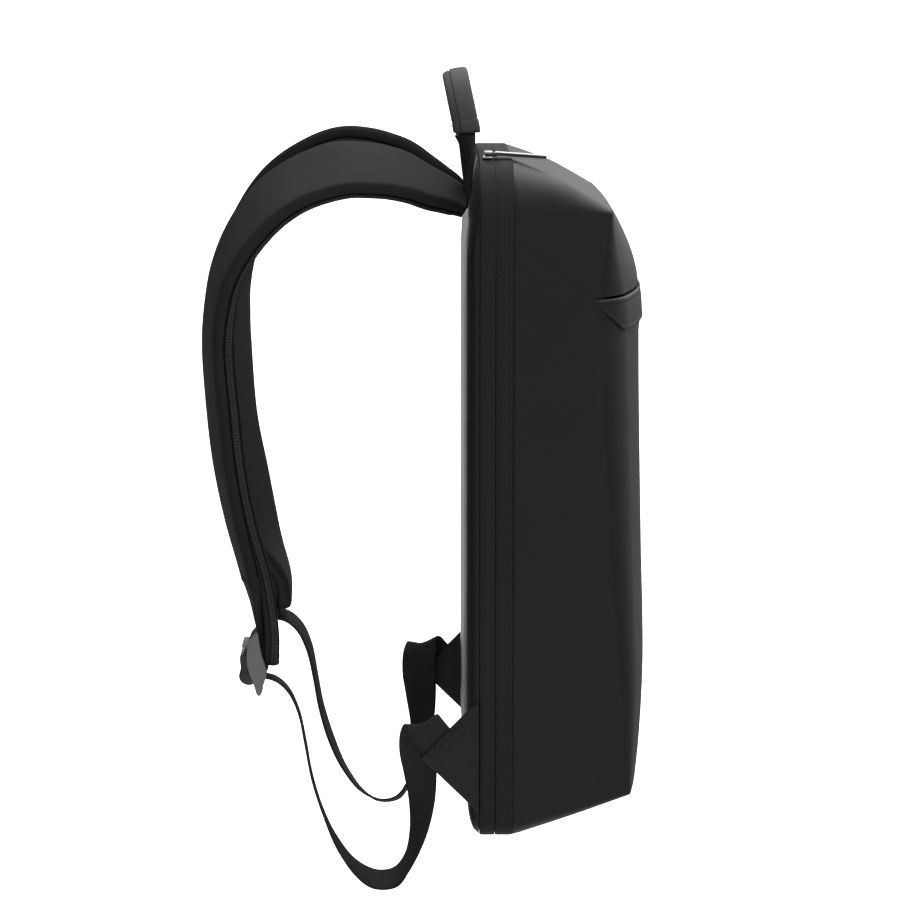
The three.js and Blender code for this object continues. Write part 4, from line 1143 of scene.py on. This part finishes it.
# Depth from the inner face and how far the outline is drawn in, across a plate and across the tongue
PLATE_LAYERS = [(0.0, 0.7), (0.35, 0.2), (0.9, 0.0), (2.1, 0.0), (2.65, 0.2), (3.0, 0.7)]
TONGUE_LAYERS = [(0.0, 0.9), (0.5, 0.3), (1.2, 0.0), (28.8, 0.0), (29.5, 0.3), (30.0, 0.9)]
# The bars, and the ends of the tail and of the webbing, folded round two of them: Y, Z, depth and height
BUCKLE_BARS = [(142, -101.4, 4, 3), (142, -119.5, 2.6, 5), (149.2, -103.6, 4.4, 1.3)]
TAIL_FOLDS = [(138, -100.4, 7, 12), (137.6, -120.6, 6, 8)]


def extruded(outline, start, layers, way):
    """A rounded outline carried along X from a start, drawn in at both ends: its points and faces."""
    outline = rounded(outline, 2)[::-1]
    inward = unit(outline.mean(axis=0) - outline)
    rings = [
        np.column_stack([np.full(len(outline), start + way * depth), outline + inward * inset])
        for depth, inset in layers
    ]
    return np.stack(rings), swept_faces(len(rings), len(outline))


def buckle(side):
    shift = np.array([0, BUCKLE_SHIFTS[side], 0])

    def gathered(name, shapes, look, moved, node=None):
        shapes = [(mirror(points + moved, side), faces) for points, faces in shapes]
        new_piece(node, *joined(shapes), look, name, sharp=40)

    def bars(table, width):
        return [
            block((width, depth, height), (BUCKLE_X, y, z), min(depth, height) * 0.35)
            for y, z, depth, height in table
        ]

    inner = BUCKLE_WIDTH / 2 - PLATE_LAYERS[-1][0]
    plates = [extruded(BUCKLE_PLATE, BUCKLE_X + way * inner, PLATE_LAYERS, way) for way in (1, -1)]
    tongue = extruded(BUCKLE_TONGUE, BUCKLE_X - TONGUE_LAYERS[-1][0] / 2, TONGUE_LAYERS, 1)
    frame_shapes = bars(BUCKLE_BARS, BUCKLE_WIDTH - 2) + plates
    gathered(f"buckle_{side}_moulding", frame_shapes, PLASTIC, shift, f"buckle_{side}")
    # The tongue is made in the darker copy of the plastic, as painted shade between the plates
    gathered(f"buckle_{side}_tongue", [tongue], SHADED_PLASTIC, -shift)
    gathered(f"strap_tail_{side}_fold", bars(TAIL_FOLDS, BUCKLE_WIDTH - 12), WEBBING, 0)


for pair_side in SIGNS:
    strap_face(pair_side)
    strap_pad(pair_side)
for pair_side in SIGNS:
    strap_tail(pair_side)
    webbing(pair_side)
    anchor_tab(pair_side)
    buckle(pair_side)


# Grab handle


def arch_course(steps):
    angles = np.linspace(0, math.pi, steps + 1)
    power = HANDLE["arch_power"]
    cosine = np.cos(angles)
    reach = np.sign(cosine) * np.abs(cosine) ** power
    rise = HANDLE["arch_height"] * np.clip(np.sin(angles), 0, 1) ** power
    y = HANDLE["grip_y"] + HANDLE["lean"] * rise
    places = stacked(HANDLE["grip_x"] * reach, y, HANDLE["grip_z"] + rise)
    tangents = np.gradient(places, axis=0)
    tangents[0] = (0, 0, 1)
    tangents[-1] = (0, 0, -1)
    tangents = unit(tangents)
    across = square_to(tangents, unit(np.array([0, -1, HANDLE["lean"]])))
    return places, across, unit(np.cross(tangents, across))


def leg_course(side):
    shares = np.linspace(0, 1, LEG_STEPS + 1)[:-1]
    width = mix(HANDLE["fold_width"], HANDLE["root_width"], (1 - shares) ** HANDLE["leg_taper"])
    turn = np.arcsin(HANDLE["fold_width"] * shares / width)
    places = stacked(*(mix(HANDLE[f"root_{key}"], HANDLE[f"grip_{key}"], shares) for key in "xyz"))
    across = stacked(np.cos(turn), -np.sin(turn), 0.0)
    up = stacked(-np.sin(turn), -np.cos(turn), 0.0)
    thickness = mix(HANDLE["root_thickness"], HANDLE["fold_thickness"], shares)
    return *(mirror(vectors, side) for vectors in (places, across, up)), width, thickness


def handle_webbing():
    arch = arch_course(60)
    fold = [np.full(len(arch[0]), HANDLE[key]) for key in ("fold_width", "fold_thickness")]
    courses = zip(leg_course("right"), [*arch, *fold], leg_course("left"))
    *stations, width, thickness = (np.concatenate([a, b, c[::-1]]) for a, b, c in courses)
    woven_band("handle_webbing", stations, width, thickness)


# The turned edge of a folded leg: its width at the root, how much wider it is at the grip, its thickness,
# how far it runs on inside the leg and how far it turns, in degrees
LEG_TURN = {"least": 0.4, "width": 7.5, "thickness": 1.6, "overlap": 0.7, "angle": 38}


def leg_turn(side):
    """The edge of the webbing that turns away along a leg as the leg folds towards the grip."""
    places, across, up, width, _ = leg_course(side)
    angle = math.radians(LEG_TURN["angle"])
    away = up * math.sin(angle) - across * math.cos(angle)
    out = up * math.cos(angle) + across * math.sin(angle)
    turned = LEG_TURN["least"] + LEG_TURN["width"] * smoothstep(np.linspace(0, 1, len(places)), 0.1, 1)
    middle = places - across * (width[:, None] / 2 - LEG_TURN["overlap"]) + away * turned[:, None] / 2
    name = f"handle_{side}_turned_edge"
    woven_band(None, (middle, away, out), turned, LEG_TURN["thickness"], name=name, along=places)


# The grip's section, across and out. On the outside a flap is sewn down along a groove
GRIP_SECTION = np.array([
    (-9.2, -0.6), (-7.8, -2.2), (-4.2, -3.4), (0, -4.1), (5, -4), (8.6, -3), (9.2, 0), (8.6, 3), (6.2, 3.8),
    (1, 4.2), (-2.6, 4.1), (-3.5, 3.9), (-3.6, 2.9), (-4.2, 2.9), (-4.3, 3.5), (-5, 3.4), (-7.8, 2.5),
    (-9.2, 0.8),
])
# The hem at each end of the grip: its length and how much it adds, and the groove that it is sewn along,
# as the distance from the end, spread and depth
GRIP_HEM = {"length": 8.0, "swell": 0.06}
GRIP_GROOVE = (8.4, 0.7, 0.1)
# The radius of the grip's ends, and the share by which they are smaller
GRIP_ROUND = 1.2
GRIP_END = 0.12


def handle_grip():
    places, across, up = arch_course(200)
    run = run_along(places)
    from_end = np.minimum(run, run[-1] - run)
    length = GRIP_HEM["length"]
    size = 1 + GRIP_HEM["swell"] * (1 - smoothstep(from_end, length - 0.4, length + 0.2))
    size = size - hump(from_end, *GRIP_GROOVE)
    for ends in (end_round(places, GRIP_ROUND), end_round(places[::-1], GRIP_ROUND)[::-1]):
        size = size - GRIP_END * (1 - ends)
    section = rounded(GRIP_SECTION, 1) * stacked(0.5 + size / 2, size)[:, None]
    piece = swept_piece("handle_grip", carried(places, across, up, section), GRIP_CLOTH)


handle_webbing()
handle_grip()
for leg_side in SIGNS:
    leg_turn(leg_side)


# Zip slider and pull

# The slider: size, centre and edge radius of its two plates, then of the parts between and before
# them, which are the post, two arms and the bridge that the pull turns on, made darker as painted shade
ARM_OFFSET = 4.6
SLIDER_PLATES = [
    ((13, 5.6, 1.7), (SLIDER_X, -15.9, TOP + 4.6), 0.6),
    ((13, 6.4, 1.5), (SLIDER_X, -15.4, TOP + 1.2), 0.6),
]
SLIDER_PARTS = [
    ((7, 4.4, 3), (SLIDER_X, -16.4, TOP + 2.9), 0.4),
    ((2, 9, 2.4), (SLIDER_X - ARM_OFFSET, -18.4, PULL_PIVOT_Z), 0.7),
    ((2, 9, 2.4), (SLIDER_X + ARM_OFFSET, -18.4, PULL_PIVOT_Z), 0.7),
    ((11, 1, 1), (SLIDER_X, PULL_PIVOT_Y, PULL_PIVOT_Z), 0.4),
]
# The pull's leaf: its fold's radius inside, the dark block between its halves that is painted shade for
# the gap there, as width, length and thickness, and where that starts, and its section as places across and
# out
PULL_FOLD = 0.8
PULL_SHADE_BLOCK = (5.4, 32, 1.5)
PULL_SHADE_BLOCK_START = 1.6
PULL_SECTION = np.array([
    (-3.0, -0.25), (-2.7, -0.5), (2.7, -0.5), (3.0, -0.25),
    (3.0, 0.25), (2.7, 0.5), (-2.7, 0.5), (-3.0, 0.25),
])


def zip_slider():
    plates, parts = (joined(block(*sizes) for sizes in table) for table in (SLIDER_PLATES, SLIDER_PARTS))
    new_piece("zip_slider", *plates, METAL, "zip_slider_plates", sharp=50)
    # The post, arms and bridge are made in the darker metal, as painted shade
    new_piece(None, *parts, SHADED_METAL, "zip_slider_arms", sharp=50)


def zip_pull():
    """A metal strip folded round the slider's bridge, lying down along the hood."""
    middle = PULL_FOLD + PULL_SECTION[:, 1].max()
    turn = np.linspace(math.pi / 2, 3 * math.pi / 2, 13)
    fold = middle * stacked(np.cos(turn), np.sin(turn))
    leaf = np.array([(PULL_LENGTH - 0.5, middle - 0.1), (PULL_LENGTH * 0.5, middle)])
    line = np.vstack([leaf, fold, leaf[::-1] * (1, -1)])
    tangents = unit(np.gradient(line, axis=0))
    side = stacked(-tangents[:, 1], tangents[:, 0])
    along, rise = np.moveaxis(line[:, None] + side[:, None] * PULL_SECTION[:, 1:], -1, 0)
    cosine, sine = math.cos(PULL_SLOPE), math.sin(PULL_SLOPE)

    def placed(across, along, rise):
        y = PULL_PIVOT_Y - along * cosine - rise * sine
        z = PULL_PIVOT_Z - along * sine + rise * cosine
        return stacked(SLIDER_X + across, y, z)

    rings = placed(PULL_SECTION[:, 0], along, rise)
    faces = swept_faces(*rings.shape[:2])
    new_piece("zip_pull", rings, faces, METAL, "zip_pull_metal", body="pull", sharp=40)
    # A dark block between the pull's two halves, standing in for the shade in the gap: painted shade
    points, faces = block(PULL_SHADE_BLOCK, (0, PULL_SHADE_BLOCK_START + PULL_SHADE_BLOCK[1] / 2, 0), 0.2)
    new_piece(None, placed(*points.T), faces, SHADED_METAL, "zip_pull_painted_shade", body="pull", sharp=40)


zip_slider()
zip_pull()


# Floor, light and camera

# Soft light from all round: a low level everywhere, and broad patches of more light. Each patch has
# the way to its middle, the cosines where it starts and is full, and its strength
AMBIENT = 0.22
LIGHT_PATCHES = [
    ((-0.2, -0.55, 0.8), 0.66, 0.95, 2.1),
    ((0.8, -0.42, 0.42), 0.88, 0.985, 1.7),
    ((0.45, 0.12, 0.88), 0.8, 0.97, 4.0),
    ((0.98, 0.1, -0.14), 0.965, 0.993, 2.6),
    ((0.5, -0.8, 0.3), 0.45, 0.95, 0.15),
    ((-1.0, 0.0, -0.1), 0.3, 0.98, 0.47),
    ((0.0, 0.0, -1.0), 0.45, 0.9, 1.3),
]
# The floor: its glow, and its reach and height in metres
FLOOR_GLOW = 0.75
FLOOR_REACH = 400.0
FLOOR_HEIGHT = -0.5


def studio_world():
    """The light from all round, as a sum of soft patches."""
    world = bpy.data.worlds.new("studio")
    nodes = Nodes(world)
    way_in = {0: nodes.node("ShaderNodeTexCoord").outputs["Generated"]}
    total = AMBIENT
    for way, start, full, strength in LIGHT_PATCHES:
        aim = {1: Vector(way).normalized()}
        cosine = nodes.node("ShaderNodeVectorMath", aim, way_in, operation="DOT_PRODUCT").outputs["Value"]
        limits = {"From Min": start, "From Max": full, "To Max": strength}
        patch = nodes.node("ShaderNodeMapRange", limits, {"Value": cosine}, interpolation_type="SMOOTHSTEP")
        total = nodes.math("ADD", patch.outputs["Result"], total)
    background = nodes.tree.nodes["Background"]
    background.inputs["Color"].default_value = (1, 1, 1, 1)
    nodes.tree.links.new(total, background.inputs["Strength"])
    bpy.context.scene.world = world


def stage():
    """A pale floor well below the hanging loops. It throws no light of its own on the object."""
    nodes = material_nodes("floor")
    nodes.shade(
        {"Base Color": nodes.tint(nodes.noise(3, 2), 0.86, 0.9, blue=1)}, Roughness=0.9,
        Specular_IOR_Level=0.0, Emission_Strength=FLOOR_GLOW, Emission_Color=(1, 1, 1, 1),
    )
    mesh = bpy.data.meshes.new("floor")
    corners = FLOOR_REACH * np.array([(-1, -1), (1, -1), (1, 1), (-1, 1)])
    mesh.from_pydata([(x, y, FLOOR_HEIGHT) for x, y in corners], [], [[0, 1, 2, 3]])
    mesh.materials.append(nodes.owner)
    floor = bpy.data.objects.new("floor", mesh)
    floor.visible_diffuse = False
    floor.visible_glossy = False
    bpy.context.scene.collection.objects.link(floor)
    bpy.context.scene.view_settings.view_transform = "Standard"


def camera():
    """The viewpoint: level with the left side, a little above and looking down."""
    pitch, yaw = math.radians(8.1), math.radians(-0.33)
    data = bpy.data.cameras.new("camera")
    data.lens = 137.64
    data.sensor_width = 36
    data.clip_end = 1000
    viewer = bpy.data.objects.new("camera", data)
    viewer.location = (-2.416, 0.023, 0.358)
    ahead = Vector((math.cos(pitch) * math.cos(yaw), math.cos(pitch) * math.sin(yaw), -math.sin(pitch)))
    viewer.rotation_euler = ahead.to_track_quat("-Z", "Y").to_euler()
    bpy.context.scene.collection.objects.link(viewer)
    bpy.context.scene.camera = viewer


studio_world()
stage()
camera()
